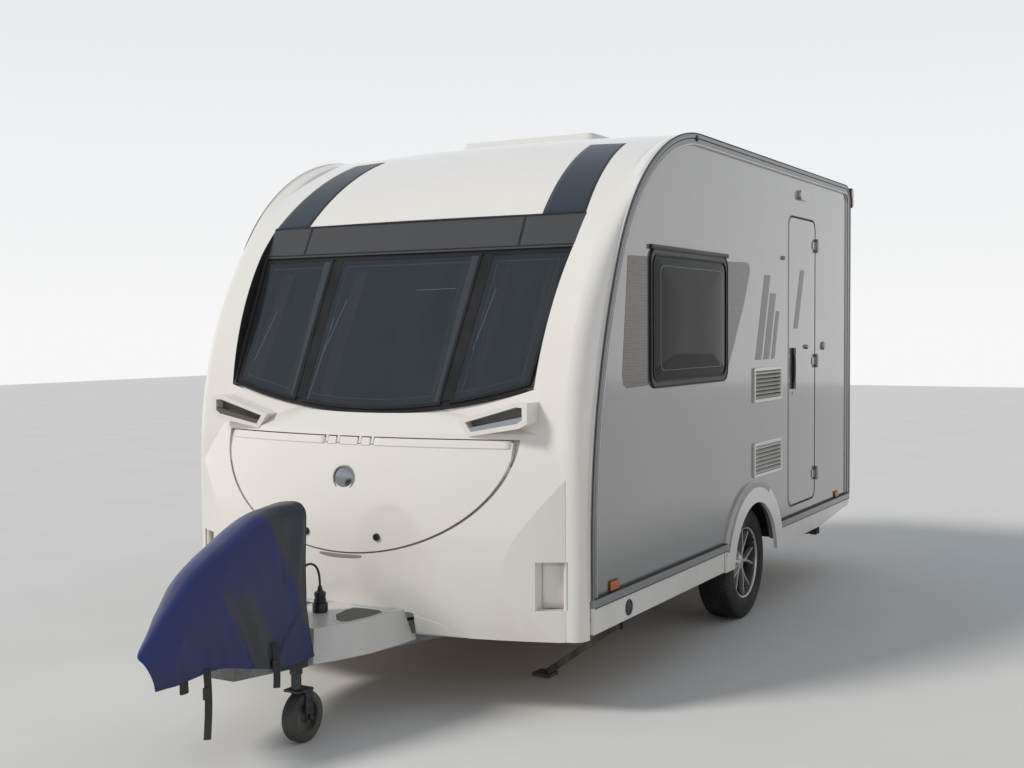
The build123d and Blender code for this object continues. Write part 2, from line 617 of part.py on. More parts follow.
# Door with its straps, hinges on the wall, handle
leaf = side_panel(LEFT, -WALL, 0, DOOR_Y0 + DOOR_GAP, DOOR_Y1 - DOOR_GAP, DOOR_Z0 + DOOR_GAP, DOOR_Z1 - DOOR_GAP,
                  DOOR_R - DOOR_GAP)
door_hinges = []
pin_x, pin_y = DOOR_PIN
for z in HINGE_ZS:
    half = KNUCKLE_H / 2
    strap = side_block(LEFT, 0, 5, DOOR_Y1 - 60, DOOR_Y1 - 8, z - half, z + half)
    strap = strap + side_block(LEFT, 3, 8, DOOR_Y1 - 12, pin_y, z - half, z + half)
    strap = strap + upright(pin_x, pin_y, z - half, z + half, KNUCKLE_R)
    leaf = leaf + (strap - upright(pin_x, pin_y, z - half - 1, z + half + 1, PIN_R + RUN))
    pin = upright(pin_x, pin_y, z - half - 20, z + half + 20, PIN_R)
    for low in (z - half - 20, z + half + 1):
        pin = pin + upright(pin_x, pin_y, low, low + 19, KNUCKLE_R)
        pin = pin + side_block(LEFT, 0, 8, pin_y, pin_y + 40, low, low + 19)
    door_hinges.append(pin)
parts["door_leaf"] = leaf
parts["door_hinges"] = group(*door_hinges)
parts["door_handle"] = side_block(LEFT, 0, SPAT_T, HANDLE_Y - 34, HANDLE_Y + 34, HANDLE_Z - 122, HANDLE_Z + 122)


# Chassis: two C-section rails, a V-shaped drawbar, the axle with its arms and spindles
def channel(side):
    """C-section beam along Y, open towards the centre line."""
    out, inn = side * (RAIL_X + RAIL_W / 2), side * (RAIL_X - RAIL_W / 2)
    low, back = FLOOR_Z - RAIL_H, REAR_Y - 200
    x0, x1 = sorted((out, inn))
    c0, c1 = sorted((out - side * PLATE, inn - side))
    beam = block(x0, x1, RAIL_FRONT_Y, back, low, FLOOR_Z)
    beam = beam - block(c0, c1, RAIL_FRONT_Y - 1, back + 1, low + PLATE, FLOOR_Z - PLATE)
    x0, x1 = sorted((out, side * (DRAW_REAR_X - DRAW_W)))
    return beam + block(x0, x1, DRAW_REAR_Y, RAIL_FRONT_Y, low, FLOOR_Z)


def drawbar(grow=0.0):
    """Two beams in a V, boxed together at the tip."""
    low, top = DRAW_Z - DRAW_H - grow, DRAW_Z + grow
    draw = block(-66, 66, DRAW_TIP_Y, DRAW_TIP_Y + 140, low, top)
    for side in SIDES:
        rear, tip = (side * DRAW_REAR_X, RAIL_FRONT_Y + 15), (side * DRAW_TIP_X, DRAW_TIP_Y)
        run = (tip[0] - rear[0], tip[1] - rear[1])
        turn = degrees(atan2(run[1], run[0]))
        middle_at = Pos((rear[0] + tip[0]) / 2, (rear[1] + tip[1]) / 2, (low + top) / 2)
        draw = draw + middle_at * Rot(0, 0, turn) * Box(sqrt(run[0] ** 2 + run[1] ** 2), DRAW_W + 2 * grow, top - low)
    return draw & block(-600, 600, DRAW_TIP_Y, DRAW_REAR_Y, 0, 600)


parts["chassis_rails"] = group(channel(LEFT), channel(RIGHT))
parts["drawbar"] = drawbar()

beam = rod((-AXLE_HALF, AXLE_Y, AXLE_Z), (AXLE_HALF, AXLE_Y, AXLE_Z), AXLE_R)
arms = []
for side in SIDES:
    x = side * RAIL_X
    beam = beam + block(x - 45, x + 45, AXLE_Y - 60, AXLE_Y + 60, AXLE_Z, FLOOR_Z - RAIL_H)
    x = side * ARM_X
    arm = block(x - ARM_W / 2, x + ARM_W / 2, AXLE_Y - 40, 40, AXLE_Z - 20, AXLE_Z + 40)
    arm = arm + block(x - ARM_W / 2, x + ARM_W / 2, -30, 40, AXLE_Z, TYRE_R + 35)
    arms.append(arm + rod((x, 0, TYRE_R), (side * (WHEEL_X + 20), 0, TYRE_R), SPINDLE_R))
parts["axle_beam"] = beam
parts["trailing_arms"] = group(*arms)


# Wheels
def tyre(side):
    h = TYRE_W / 2
    section = [(RIM_R, -h + 12), (RIM_R + 30, -h), (TYRE_R - 26, -h + 4), (TYRE_R, -h + 26), (TYRE_R, h - 26),
               (TYRE_R - 26, h - 4), (RIM_R + 30, h), (RIM_R, h - 12)]
    ring = revolve(Plane.XZ * make_face(Polyline(*section, close=True)), Axis.Z)
    return Pos(side * WHEEL_X, 0, TYRE_R) * Rot(0, 90, 0) * ring


def rim(side):
    """Barrel, hub and pairs of spokes; the bore for the spindle is blind."""
    h = TYRE_W / 2 - 12
    shape = Cylinder(RIM_R - 0.3, 2 * h) - Cylinder(RIM_R - 12, 2 * h + 1)
    shape = shape + upright(0, 0, -62, 53, 46) + upright(0, 0, 0, 53, 70)
    for k in range(SPOKES):
        place = Rot(0, 0, 360 / SPOKES * k)
        for lean in SIDES:
            shape = shape + place * Pos(115, lean * ARM_OUT / 2, h - 32) * Rot(0, 0, lean * ARM_LEAN) * Box(150, 15, 34)
        web = make_face(Polyline((50, -10), (RIM_R - 8, -ARM_OUT), (RIM_R - 8, ARM_OUT), (50, 10), close=True))
        shape = shape + place * Pos(0, 0, h - 49) * extrude(web, 14)
    shape = shape - upright(0, 0, -100, 22, SPINDLE_R + RUN)
    return Pos(side * WHEEL_X, 0, TYRE_R) * Rot(0, 90 * side, 0) * shape


for side, label in ((LEFT, "left"), (RIGHT, "right")):
    parts["tyre_" + label] = tyre(side)
    parts["rim_" + label] = rim(side)

# Overrun housing, coupling on its tube, the two levers
tube = rod((0, DRAW_TIP_Y + 40, BALL_Z), (0, BALL_Y + 80, BALL_Z), TUBE_R)
housing = block(-42, 42, DRAW_TIP_Y, DRAW_TIP_Y + HOUSING_L, DRAW_Z, BALL_Z + 50)
head_low = BALL_Z + 12 - HEAD_H / 2
head = upright(0, BALL_Y, head_low, head_low + HEAD_H, 38)
head = head + block(-32, 32, BALL_Y, BALL_Y + 90, BALL_Z - 18, BALL_Z + 40)
head = head - upright(0, BALL_Y, head_low - 1, head_low + SOCKET_L, BALL_R)
parts["overrun_housing"] = housing - tube
parts["coupling"] = tube + head
head_top = head_low + HEAD_H
grip_bar = rod((0, BALL_Y + 20, head_top + 12), (0, BALL_Y - 55, head_top + 22), 9)
parts["coupling_handle"] = grip_bar + block(-12, 12, BALL_Y + 5, BALL_Y + 35, head_top, head_top + 22)
lever_y = DRAW_TIP_Y + HOUSING_L - 40
lever_end = (0, -2740, 873.9)    # the cover rests on the lever's knob
lever = rod((0, lever_y, BALL_Z + 30), lever_end, 11) + Pos(*lever_end) * Sphere(14)
parts["handbrake_lever"] = lever - block(-42, 42, DRAW_TIP_Y, lever_y + 41, DRAW_Z, BALL_Z + 50)

# Jockey wheel: outer tube clamped to the drawbar, sliding stem, castor fork and wheel
outer = upright(JOCKEY_X, JOCKEY_Y, OUTER_LOW, OUTER_TOP, OUTER_R)
outer = outer - upright(JOCKEY_X, JOCKEY_Y, OUTER_LOW - 1, OUTER_TOP - 20, STEM_R + RUN)
clamp = block(115, JOCKEY_X + 34, JOCKEY_Y - 34, JOCKEY_Y + 34, 300, 360)
clamp = clamp - upright(JOCKEY_X, JOCKEY_Y, 290, 370, OUTER_R - 1) - parts["drawbar"]
parts["jockey_tube"] = outer + clamp
stem = upright(JOCKEY_X, JOCKEY_Y, STEM_LOW, STEM_TOP, STEM_R)
stem = stem + upright(JOCKEY_X, JOCKEY_Y, STEM_LOW - 16, STEM_LOW, PIVOT_R)
parts["jockey_stem"] = stem + upright(JOCKEY_X, JOCKEY_Y, STEM_LOW - 16, STEM_LOW - 11, PIVOT_R + 5)
wheel_y = JOCKEY_Y + TRAIL
plate = block(JOCKEY_X - 40, JOCKEY_X + 40, JOCKEY_Y - 28, wheel_y + 22, STEM_LOW - 10, STEM_LOW - 1)
fork = plate - upright(JOCKEY_X, JOCKEY_Y, STEM_LOW - 20, STEM_LOW, PIVOT_R + RUN)
for end in SIDES:
    x0, x1 = sorted((JOCKEY_X + end * (JOCKEY_W / 2 + 2), JOCKEY_X + end * (JOCKEY_W / 2 + 2 + FORK_T)))
    fork = fork + block(x0, x1, wheel_y - 22, wheel_y + 22, JOCKEY_R - 15, STEM_LOW - 5)
axle = rod((JOCKEY_X - 40, wheel_y, JOCKEY_R), (JOCKEY_X + 40, wheel_y, JOCKEY_R), JOCKEY_AXLE_R)
parts["jockey_fork"] = fork + axle
roller = rod((JOCKEY_X - JOCKEY_W / 2, wheel_y, JOCKEY_R), (JOCKEY_X + JOCKEY_W / 2, wheel_y, JOCKEY_R), JOCKEY_R)
parts["jockey_wheel"] = roller - rod((JOCKEY_X - 40, wheel_y, JOCKEY_R), (JOCKEY_X + 40, wheel_y, JOCKEY_R),
                                     JOCKEY_AXLE_R + RUN)


# Corner steadies swing across the caravan: lowered in front, folded up behind
def steady(side, y, angle):
    """Leg and foot, built lowered on the left and turned up about the pivot."""
    foot_x = STEADY_X - STEADY_LEN * cos(radians(STEADY_DOWN))
    leg = Pos(-(STEADY_LEN - 30) / 2 + 6, 0, 0) * Box(STEADY_LEN - 30 + 12, 44, 28)
    leg = Pos(STEADY_X, y, PIVOT_Z) * Rot(0, -STEADY_DOWN, 0) * leg
    leg = leg + block(foot_x - 45, foot_x + 45, y - 45, y + 45, 0, FOOT_T)
    leg = leg - rod((STEADY_X, y - 40, PIVOT_Z), (STEADY_X, y + 40, PIVOT_Z), PIVOT_R + RUN)
    leg = leg.rotate(Axis((STEADY_X, y, PIVOT_Z), (0, 1, 0)), STEADY_DOWN - angle)
    return leg if side == LEFT else mirror(leg, about=Plane.YZ)


places = (("front_left", LEFT, STEADY_FRONT_Y, STEADY_DOWN), ("front_right", RIGHT, STEADY_FRONT_Y, STEADY_DOWN),
          ("rear_left", LEFT, STEADY_REAR_Y, STEADY_UP), ("rear_right", RIGHT, STEADY_REAR_Y, STEADY_UP))
brackets = []
for label, side, y, angle in places:
    x = side * STEADY_X
    bracket = block(x - 22, x + 22, y - 30, y + 30, PIVOT_Z - 20, FLOOR_Z)
    bracket = bracket - block(x - 23, x + 23, y - 25, y + 25, PIVOT_Z - 21, FLOOR_Z - 6)
    brackets.append(bracket + rod((x, y - 29, PIVOT_Z), (x, y + 29, PIVOT_Z), PIVOT_R))
    parts["steady_" + label] = steady(side, y, angle)
parts["steady_brackets"] = group(*brackets)

# Fairing over the drawbar, with the parked plug and its cable
FAIR_FOOT = [(345, -2215), (338, -2400), (312, -2600), (262, -2745), (218, -2835)]     # x, y
FAIR_Z0, FAIR_Z1 = 300, 432
FAIR_STAY = (237, -2500)         # x, y of the feet that stand on the drawbar
foot = make_face(Polyline(*[(-x, y) for x, y in FAIR_FOOT], *reversed(FAIR_FOOT), close=True))
fairing = extrude(Pos(0, 0, FAIR_Z0) * foot, FAIR_Z1 - FAIR_Z0, taper=14)
fairing = fairing - extrude(Pos(0, 0, FAIR_Z0 - 6) * foot, FAIR_Z1 - FAIR_Z0, taper=16)
fairing = fairing - drawbar(6) - bulge() - block(-HALF_W, HALF_W, BULGE_Y + 72, BULGE_Y + 172, 0, 2 * FAIR_Z1)
for side in SIDES:
    x, y = side * FAIR_STAY[0], FAIR_STAY[1]
    fairing = fairing + block(x - 10, x + 10, y - 10, y + 10, DRAW_Z, FAIR_Z1 - 4)
parts["drawbar_fairing"] = fairing
plug_x, plug_y = 30, -2550
plug_top = FAIR_Z1 + 110
CABLE_R = 5
gland = (15, -2712)
cable_points = [(plug_x, plug_y, plug_top), (plug_x, plug_y, plug_top + 40), (29, -2570, 628),
                (27, -2608, 646), (24, -2645, 638), (21, -2675, 610), (18, -2697, 570), (16, -2709, 525),
                (gland[0], gland[1], 485), (gland[0], gland[1], 448)]
parts["plug"] = upright(plug_x, plug_y, FAIR_Z1 + 40, plug_top - 22, 24) \
    + upright(plug_x, plug_y, plug_top - 22, plug_top, 12)
parts["plug_socket"] = group(upright(plug_x, plug_y, FAIR_Z1, FAIR_Z1 + 40, 30),
                             upright(gland[0], gland[1], FAIR_Z1, cable_points[-1][2], 13))


def corner_radii(points):
    """Largest arcs that the runs allow: 0.45 of the shorter run over the tangent of half the turn."""
    stops = [Vector(*p) for p in points]
    radii = []
    for a, b, c in zip(stops, stops[1:], stops[2:]):
        turn = radians((b - a).get_angle(c - b))
        radii.append(0.45 * min((b - a).length, (c - b).length) / tan(turn / 2))
    return radii


path = FilletPolyline(*cable_points, radius=corner_radii(cable_points))
start = Plane(origin=cable_points[0], z_dir=Vector(*cable_points[1]) - Vector(*cable_points[0]))
parts["cable"] = sweep(start * Circle(CABLE_R), path=path)

# Hitch cover: an open-bottomed bag of coated cloth, by stations along Y
COVER_T = 6
# y, top, hem height, half width at the hem, at the waist and at the ridge, waist height
COVER = [(-3600, 432, 352, 70, 60, 22, 380),
         (-3477, 540, 347, 130, 118, 30, 420),
         (-3300, 694, 342, 175, 160, 34, 480),
         (-3000, 800, 320, 242, 236, 40, 530),
         (-2780, 890, 300, 252, 236, 40, 540),
         (-2640, 905, 300, 245, 215, 34, 540)]


def cover_loft(inset):
    faces = []
    for y, top, hem, half_hem, half_waist, half_ridge, waist in COVER:
        low = hem - 20 if inset else hem
        a, b = half_hem - inset, half_waist - inset
        c, peak = half_ridge - inset / 2, top - inset
        shoulder = peak - 26
        faces.append(Face(Wire([
            Line((a, y, low), (b, y, waist)),
            Line((b, y, waist), (c, y, shoulder)),
            ThreePointArc((c, y, shoulder), (0, y, peak), (-c, y, shoulder)),
            Line((-c, y, shoulder), (-b, y, waist)),
            Line((-b, y, waist), (-a, y, low)),
            Line((-a, y, low), (a, y, low)),
        ])))
    return loft(faces, ruled=True)


# y, z of the slanting cut behind, and the radius that the lid's lower edge sweeps, with 6 mm to spare
COVER_CUT = [(-2630, 960), (-2860, 250), (-2400, 250), (-2400, 960)]
LID_SWEEP = 494
inner = cover_loft(COVER_T) & block(-HALF_W, HALF_W, COVER[0][0] + COVER_T, 0, 0, EDGE_Z)
slant = Pos(-HALF_W, 0, 0) * extrude(Plane.YZ * make_face(Polyline(*COVER_CUT, close=True)), 2 * HALF_W)
sweep_room = rod((-HALF_W, *LID_AXIS), (HALF_W, *LID_AXIS), LID_SWEEP)
cover = cover_loft(0) - inner - slant - sweep_room
parts["hitch_cover"] = cover
# y, x of the inner face of the hem, lower end, upper end
STRAPS = [(-3500, 112, 290, 372), (-3290, 168, 125, 372), (-2990, 234, 262, 350)]
straps = []
for y, x, low, high in STRAPS:
    straps.append(block(x - 3, x, y - 12, y + 12, low, high) - cover)
parts["cover_straps"] = group(*straps)

# Lamps, rear handles and bumper
rear_face = REAR_Y + LIP
CORNER_LAMP = (REAR_Y + 7, EDGE_Z - 62)          # y, z
CORNER_LAMP_R = 60
parts["awning_light"] = side_panel(LEFT, 0, SPAT_T, 745, 905, 2372, 2420, 22)
markers, clusters, rear_grips = [], [], []
for side in SIDES:
    markers.append(side_block(side, 0, 10, -1885, -1806, 497, 535))
    markers.append(side_block(side, 0, 10, 1540, 1610, 497, 530))
    x = side * (HALF_W - 175)
    clusters.append(block(x - 70, x + 70, rear_face, rear_face + 28, 620, 1000))
    corner_lamp = side_disc(side, -100, -12, *CORNER_LAMP, CORNER_LAMP_R)
    clusters.append(corner_lamp - rear_skin)
    x = side * (HALF_W - 185)
    bar = block(x - 14, x + 14, rear_face + 34, rear_face + 48, 1100, 1360)
    for low in (1100, 1320):
        bar = bar + block(x - 14, x + 14, rear_face, rear_face + 48, low, low + 40)
    rear_grips.append(bar)
clusters.append(block(-150, 150, rear_face, rear_face + 16, 2290, 2330))
parts["marker_lamps"] = group(*markers)
parts["rear_lamps"] = group(*clusters)
parts["rear_grips"] = group(*rear_grips)
bumper = extrude(Pos(0, rear_face + 12, 405) * RectangleRounded(2 * HALF_W - 60, 60, 20), 155)
parts["rear_bumper"] = group(bumper - rear_skin, block(-270, 270, rear_face, rear_face + 12, 600, 730))


def export_all():
    """Shift everything so that the origin is the bottom centre of the whole box, and write it."""
    os.makedirs("parts", exist_ok=True)
    boxes = [shape.bounding_box() for shape in parts.values()]
    mid_x = (min(b.min.X for b in boxes) + max(b.max.X for b in boxes)) / 2
    mid_y = (min(b.min.Y for b in boxes) + max(b.max.Y for b in boxes)) / 2
    low_z = min(b.min.Z for b in boxes)
    print("shift", round(mid_x, 3), round(mid_y, 3), round(low_z, 3), "nodes", len(parts))
    for name, shape in parts.items():
        export_step(Pos(-mid_x, -mid_y, -low_z) * shape, "parts/" + name + ".step")
        print(name, len(shape.solids()), round(shape.volume / 1e6, 2), shape.is_valid)


export_all()
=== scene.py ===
# %% [markdown]
# # A small touring caravan, dressed for its portrait
# The construction comes from CAD: panels, chassis, wheels and joints are already at their real size.
# This lesson adds what CAD leaves out, such as finishes, tyre tread, curtains, cloth and seals. Every length
# is in metres, +X is the side with the door, -Y is the front, +Z is up. Side outlines count Y from the axle.

# %% The frame and its box
from math import cos, pi, radians, sin, sqrt

import bmesh
import bpy
import numpy as np
from mathutils import Matrix


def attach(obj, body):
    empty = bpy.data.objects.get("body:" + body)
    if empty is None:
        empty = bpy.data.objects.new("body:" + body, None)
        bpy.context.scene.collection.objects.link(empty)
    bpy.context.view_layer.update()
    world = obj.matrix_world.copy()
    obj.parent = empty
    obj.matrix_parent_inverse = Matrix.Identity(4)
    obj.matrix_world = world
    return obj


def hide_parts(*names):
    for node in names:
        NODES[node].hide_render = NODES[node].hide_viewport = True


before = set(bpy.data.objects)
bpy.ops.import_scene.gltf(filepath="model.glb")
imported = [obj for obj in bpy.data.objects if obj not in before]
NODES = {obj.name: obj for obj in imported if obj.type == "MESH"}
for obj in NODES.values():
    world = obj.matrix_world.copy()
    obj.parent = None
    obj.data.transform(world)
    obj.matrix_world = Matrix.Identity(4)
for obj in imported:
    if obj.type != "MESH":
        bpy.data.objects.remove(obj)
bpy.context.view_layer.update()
AXLE_Y = 0.834                  # the axle, where the designer's own layout has Y 0
WALL_X = 1.045                  # outer skin of a side wall
PAIR = (-1, 1)                  # the right and the left side
NAMED_PAIR = ((1, "left"), (-1, "right"))
PANE_ORIGIN = np.array([0, -2.199 + AXLE_Y, 1.200])     # the leaning plane of the front panes
PANE_SLOPE = 0.51
PANE_UP = np.array([0, PANE_SLOPE, 1]) / sqrt(1 + PANE_SLOPE ** 2)
PANE_OUT = np.array([0, -1, PANE_SLOPE]) / sqrt(1 + PANE_SLOPE ** 2)

# %% [markdown]
# ## Camera
# The camera stands at eye height, a little to the right of the nose. Its place and angles were worked out
# from straight edges of the real caravan, so the picture has the same perspective. Turning a camera about Z,
# then about its own X and at last about its line of sight keeps the three angles easy to read.

# %% Camera
CAMERA_AT = (3.3628, -5.9220, 1.6026)
CAMERA_YAW = 0.51914
CAMERA_PITCH = 0.04210          # downwards
CAMERA_ROLL = -0.00659
LENS = 45.04                    # on a sensor 36 wide

camera_data = bpy.data.cameras.new("camera")
camera_data.lens = LENS
camera_data.sensor_width = 36
camera = bpy.data.objects.new("camera", camera_data)
camera.matrix_world = (Matrix.Translation(CAMERA_AT) @ Matrix.Rotation(CAMERA_YAW, 4, "Z")
                       @ Matrix.Rotation(pi / 2 - CAMERA_PITCH, 4, "X")
                       @ Matrix.Rotation(CAMERA_ROLL, 4, "Z"))
bpy.context.scene.collection.objects.link(camera)
bpy.context.scene.camera = camera
bpy.context.scene.view_settings.view_transform = "Standard"

# %% [markdown]
# ## Outlines from numbers
# Most parts start as a flat outline: a rectangle, an arc or a rectangle with round corners. Each is an array
# of two numbers a point, so moving or mirroring an outline is one plus or one times.

# %% Outlines


def mm(*points):
    """Points given in millimetres."""
    return np.array(points, float) / 1000


def between(low, high, share):
    """The number a share of the way from low to high."""
    return low + (high - low) * share


def share_grid(columns, rows):
    """Two grids of shares from 0 to 1, one along the columns and one along the rows."""
    return np.meshgrid(np.linspace(0, 1, columns), np.linspace(0, 1, rows))


def corners(a0, a1, b0, b1):
    """Rectangle from its two ends along each of two axes."""
    return np.array([(a0, b0), (a1, b0), (a1, b1), (a0, b1)])


def arc(centre, radius, turn):
    """Points at the angles of turn on a circle: first + r cos a, second + r sin a."""
    return np.stack([centre[0] + radius * np.cos(turn), centre[1] + radius * np.sin(turn)], -1)


def ring(radius, sides=12):
    return arc((0, 0), radius, np.arange(sides) * 2 * pi / sides)


def rounded(width, height, radius, steps=5):
    """Rectangle about 0, 0 with quarter circles at its corners."""
    quarter = np.linspace(0, pi / 2, steps)
    places = ((1, 1), (-1, 1), (-1, -1), (1, -1))
    across, up = width / 2 - radius, height / 2 - radius
    return np.concatenate([arc((a * across, b * up), radius, quarter + k * pi / 2)
                           for k, (a, b) in enumerate(places)])


def rounded_box(size, inset, corner, steps=5):
    """Rounded outline that lies by inset inside a rectangle given by its ends along two axes."""
    a0, a1, b0, b1 = size
    outline = rounded(a1 - a0 - 2 * inset, b1 - b0 - 2 * inset, corner, steps)
    return outline + [(a0 + a1) / 2, (b0 + b1) / 2]


def mirrored(half):
    """Profile and its mirror image across the wheel's middle plane, in one line."""
    return np.concatenate([half, half[::-1] * [1, -1]])


def on_side(outline, x, side=1):
    """Outline of y from the axle and z, as 3-D points at distance x from the middle."""
    return np.insert(np.asarray(outline, float) + [AXLE_Y, 0], 0, side * x, axis=1)


# %% [markdown]
# ## Meshes from arrays
# A surface is a grid of points, worked out for all points at once, and its faces join each point to its
# neighbours. A part is such a pair of points and faces: a sheet, a plate, a profile carried along a path or
# turned about an axis, or a band between two loops.

# %% Grids and parts


def grid_faces(rows, columns, wrap_rows=False, wrap_columns=False):
    """Quads of a grid numbered row by row; a wrapped direction joins its last line to its first."""
    r, c = np.meshgrid(np.arange(rows - (not wrap_rows)), np.arange(columns - (not wrap_columns)),
                       indexing="ij")
    below, right = (r + 1) % rows, (c + 1) % columns
    quads = np.stack([r * columns + c, below * columns + c, below * columns + right, r * columns + right], -1)
    return quads.reshape(-1, 4).tolist()


def surface(points, wrap_rows=False, wrap_columns=False):
    """Part from an array of points with rows, columns and x, y, z."""
    rows, columns = points.shape[:2]
    return points.reshape(-1, 3), grid_faces(rows, columns, wrap_rows, wrap_columns)


def capped(points):
    """Part from rings of points, closed round each ring and at both ends."""
    flat, faces = surface(points, wrap_columns=True)
    count, last = points.shape[1], len(flat)
    return flat, faces + [list(range(count)), list(range(last - count, last))]


def prism(outline, run):
    """Part between a flat outline of 3-D points and its copy moved by run."""
    outline = np.asarray(outline, float)
    return capped(np.stack([outline, outline + np.asarray(run, float)]))


def slab(outline, axis, at, thick):
    """Plate square to axis 0, 1 or 2, from its outline on the other two axes and its place along this one."""
    return prism(np.insert(outline, axis, at, axis=1), thick * np.eye(3)[axis])


def side_plate(outline, x, thick, side=1):
    """Plate on a side wall, its inner face at distance x from the middle."""
    return prism(on_side(outline, x, side), (side * thick, 0, 0))


def carried(profile, path, up=(0, 0, 1), scale=1.0):
    """Part of a closed profile carried along a path.

    At each point of the path the profile's first number goes sideways, its second towards up, both square to
    the path. scale, one number for each point, makes it thicker or thinner. The two ends are closed.
    """
    along = np.gradient(np.asarray(path, float), axis=0)
    along /= np.linalg.norm(along, axis=1, keepdims=True)
    side = np.cross(along, np.asarray(up, float))
    side /= np.linalg.norm(side, axis=1, keepdims=True)
    above = np.cross(side, along)
    spread = np.asarray(profile, float) * np.broadcast_to(scale, len(along))[:, None, None]
    return capped(np.asarray(path)[:, None] + spread[..., :1] * side[:, None]
                  + spread[..., 1:] * above[:, None])


def lathe(profile, centre, axis=0, sides=48, closed=False):
    """Part of a profile of radius and height turned about a line through centre along axis 0, 1 or 2.

    The point at an angle is the radius times its cosine and sine on the two other axes.
    """
    radius, height = np.asarray(profile, float).T
    angle = np.arange(sides) * 2 * pi / sides
    points = np.zeros((len(radius), sides, 3))
    points[..., axis] = height[:, None]
    points[..., (axis + 1) % 3] = radius[:, None] * np.cos(angle)
    points[..., (axis + 2) % 3] = radius[:, None] * np.sin(angle)
    return surface(points + np.asarray(centre, float), wrap_rows=closed, wrap_columns=True)


def ribbon(outer, inner, lift):
    """Closed band between two loops of 3-D points, as thick as the vector lift."""
    return surface(np.stack([outer, outer + lift, inner + lift, inner]), wrap_rows=True, wrap_columns=True)


def side_ribbon(outer, inner, low, high, side=1):
    """Band on a side wall between two outlines, from distance low to distance high."""
    return ribbon(on_side(outer, low, side), on_side(inner, low, side), np.array([side * (high - low), 0, 0]))


# %% [markdown]
# ## From parts to a finished object
# One helper turns parts into an object, so each later cell only has to say where the points are. Every object
# rides on a body of the frame, takes the finish it is given and may stand in for CAD nodes.

# %% A piece from its parts


def piece(name, parts, finish, body="caravan", replaces=(), bevel=0.0, thickness=0.0, smooth=35):
    """One object from several parts, with its faces outwards, riding on a body.

    bevel rounds the hard edges, thickness turns a sheet into a wall, smooth is the sharpest soft edge.
    """
    starts = np.cumsum([0] + [len(points) for points, _ in parts[:-1]])
    faces = [[start + k for k in face] for start, (_, part) in zip(starts, parts) for face in part]
    mesh = bpy.data.meshes.new(name)
    mesh.from_pydata(np.concatenate([points for points, _ in parts]).tolist(), [], faces)
    shell = bmesh.new()
    shell.from_mesh(mesh)
    bmesh.ops.remove_doubles(shell, verts=shell.verts, dist=1e-6)
    bmesh.ops.recalc_face_normals(shell, faces=shell.faces)
    shell.to_mesh(mesh)
    shell.free()
    mesh.shade_smooth()
    mesh.set_sharp_from_angle(angle=radians(smooth))
    thing = bpy.data.objects.new(name, mesh)
    bpy.context.scene.collection.objects.link(thing)
    if thickness:
        wall = thing.modifiers.new("wall", "SOLIDIFY")
        wall.thickness = thickness
        wall.offset = 0
    if bevel:
        edge = thing.modifiers.new("edge", "BEVEL")
        edge.width = bevel
        edge.segments = 2
        edge.limit_method = "ANGLE"
        edge.angle_limit = radians(40)
    mesh.materials.append(finish)
    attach(thing, body)
    if replaces:
        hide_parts(*replaces)
    return thing


# %% [markdown]
# ## Writing materials as sums
# A finish is a small network of nodes. Drawn by hand it soon turns into a tangle, so here a socket is wrapped
# in a class whose plus, minus and times add the Math nodes. 1 - mask then reads as it does on paper.

# %% Expressions on sockets


class Wire:
    """A node's output that can take part in sums."""

    def __init__(self, finish, socket):
        self.finish = finish
        self.socket = socket

    def math(self, operation, *terms):
        return self.finish.add("ShaderNodeMath", {"operation": operation}, dict(enumerate(terms)))

    def __add__(self, other):
        return self.math("ADD", self, other)

    def __sub__(self, other):
        return self.math("SUBTRACT", self, other)

    def __rsub__(self, other):
        return self.math("SUBTRACT", other, self)

    def __mul__(self, other):
        return self.math("MULTIPLY", self, other)

    __radd__ = __add__

    def sine(self):
        return self.math("SINE", self)

    def waves(self, length):
        """Sine with a wave of this length, from -1 to 1."""
        return (self * (2 * pi / length)).sine()

    def size(self):
        """The number without its sign."""
        return self.math("ABSOLUTE", self)

    def rise(self, low, high):
        """0 up to low, 1 from high on, and a smooth step between them."""
        return self.finish.add("ShaderNodeMapRange", {"interpolation_type": "SMOOTHSTEP"},
                               {"Value": self, "From Min": low, "From Max": high})


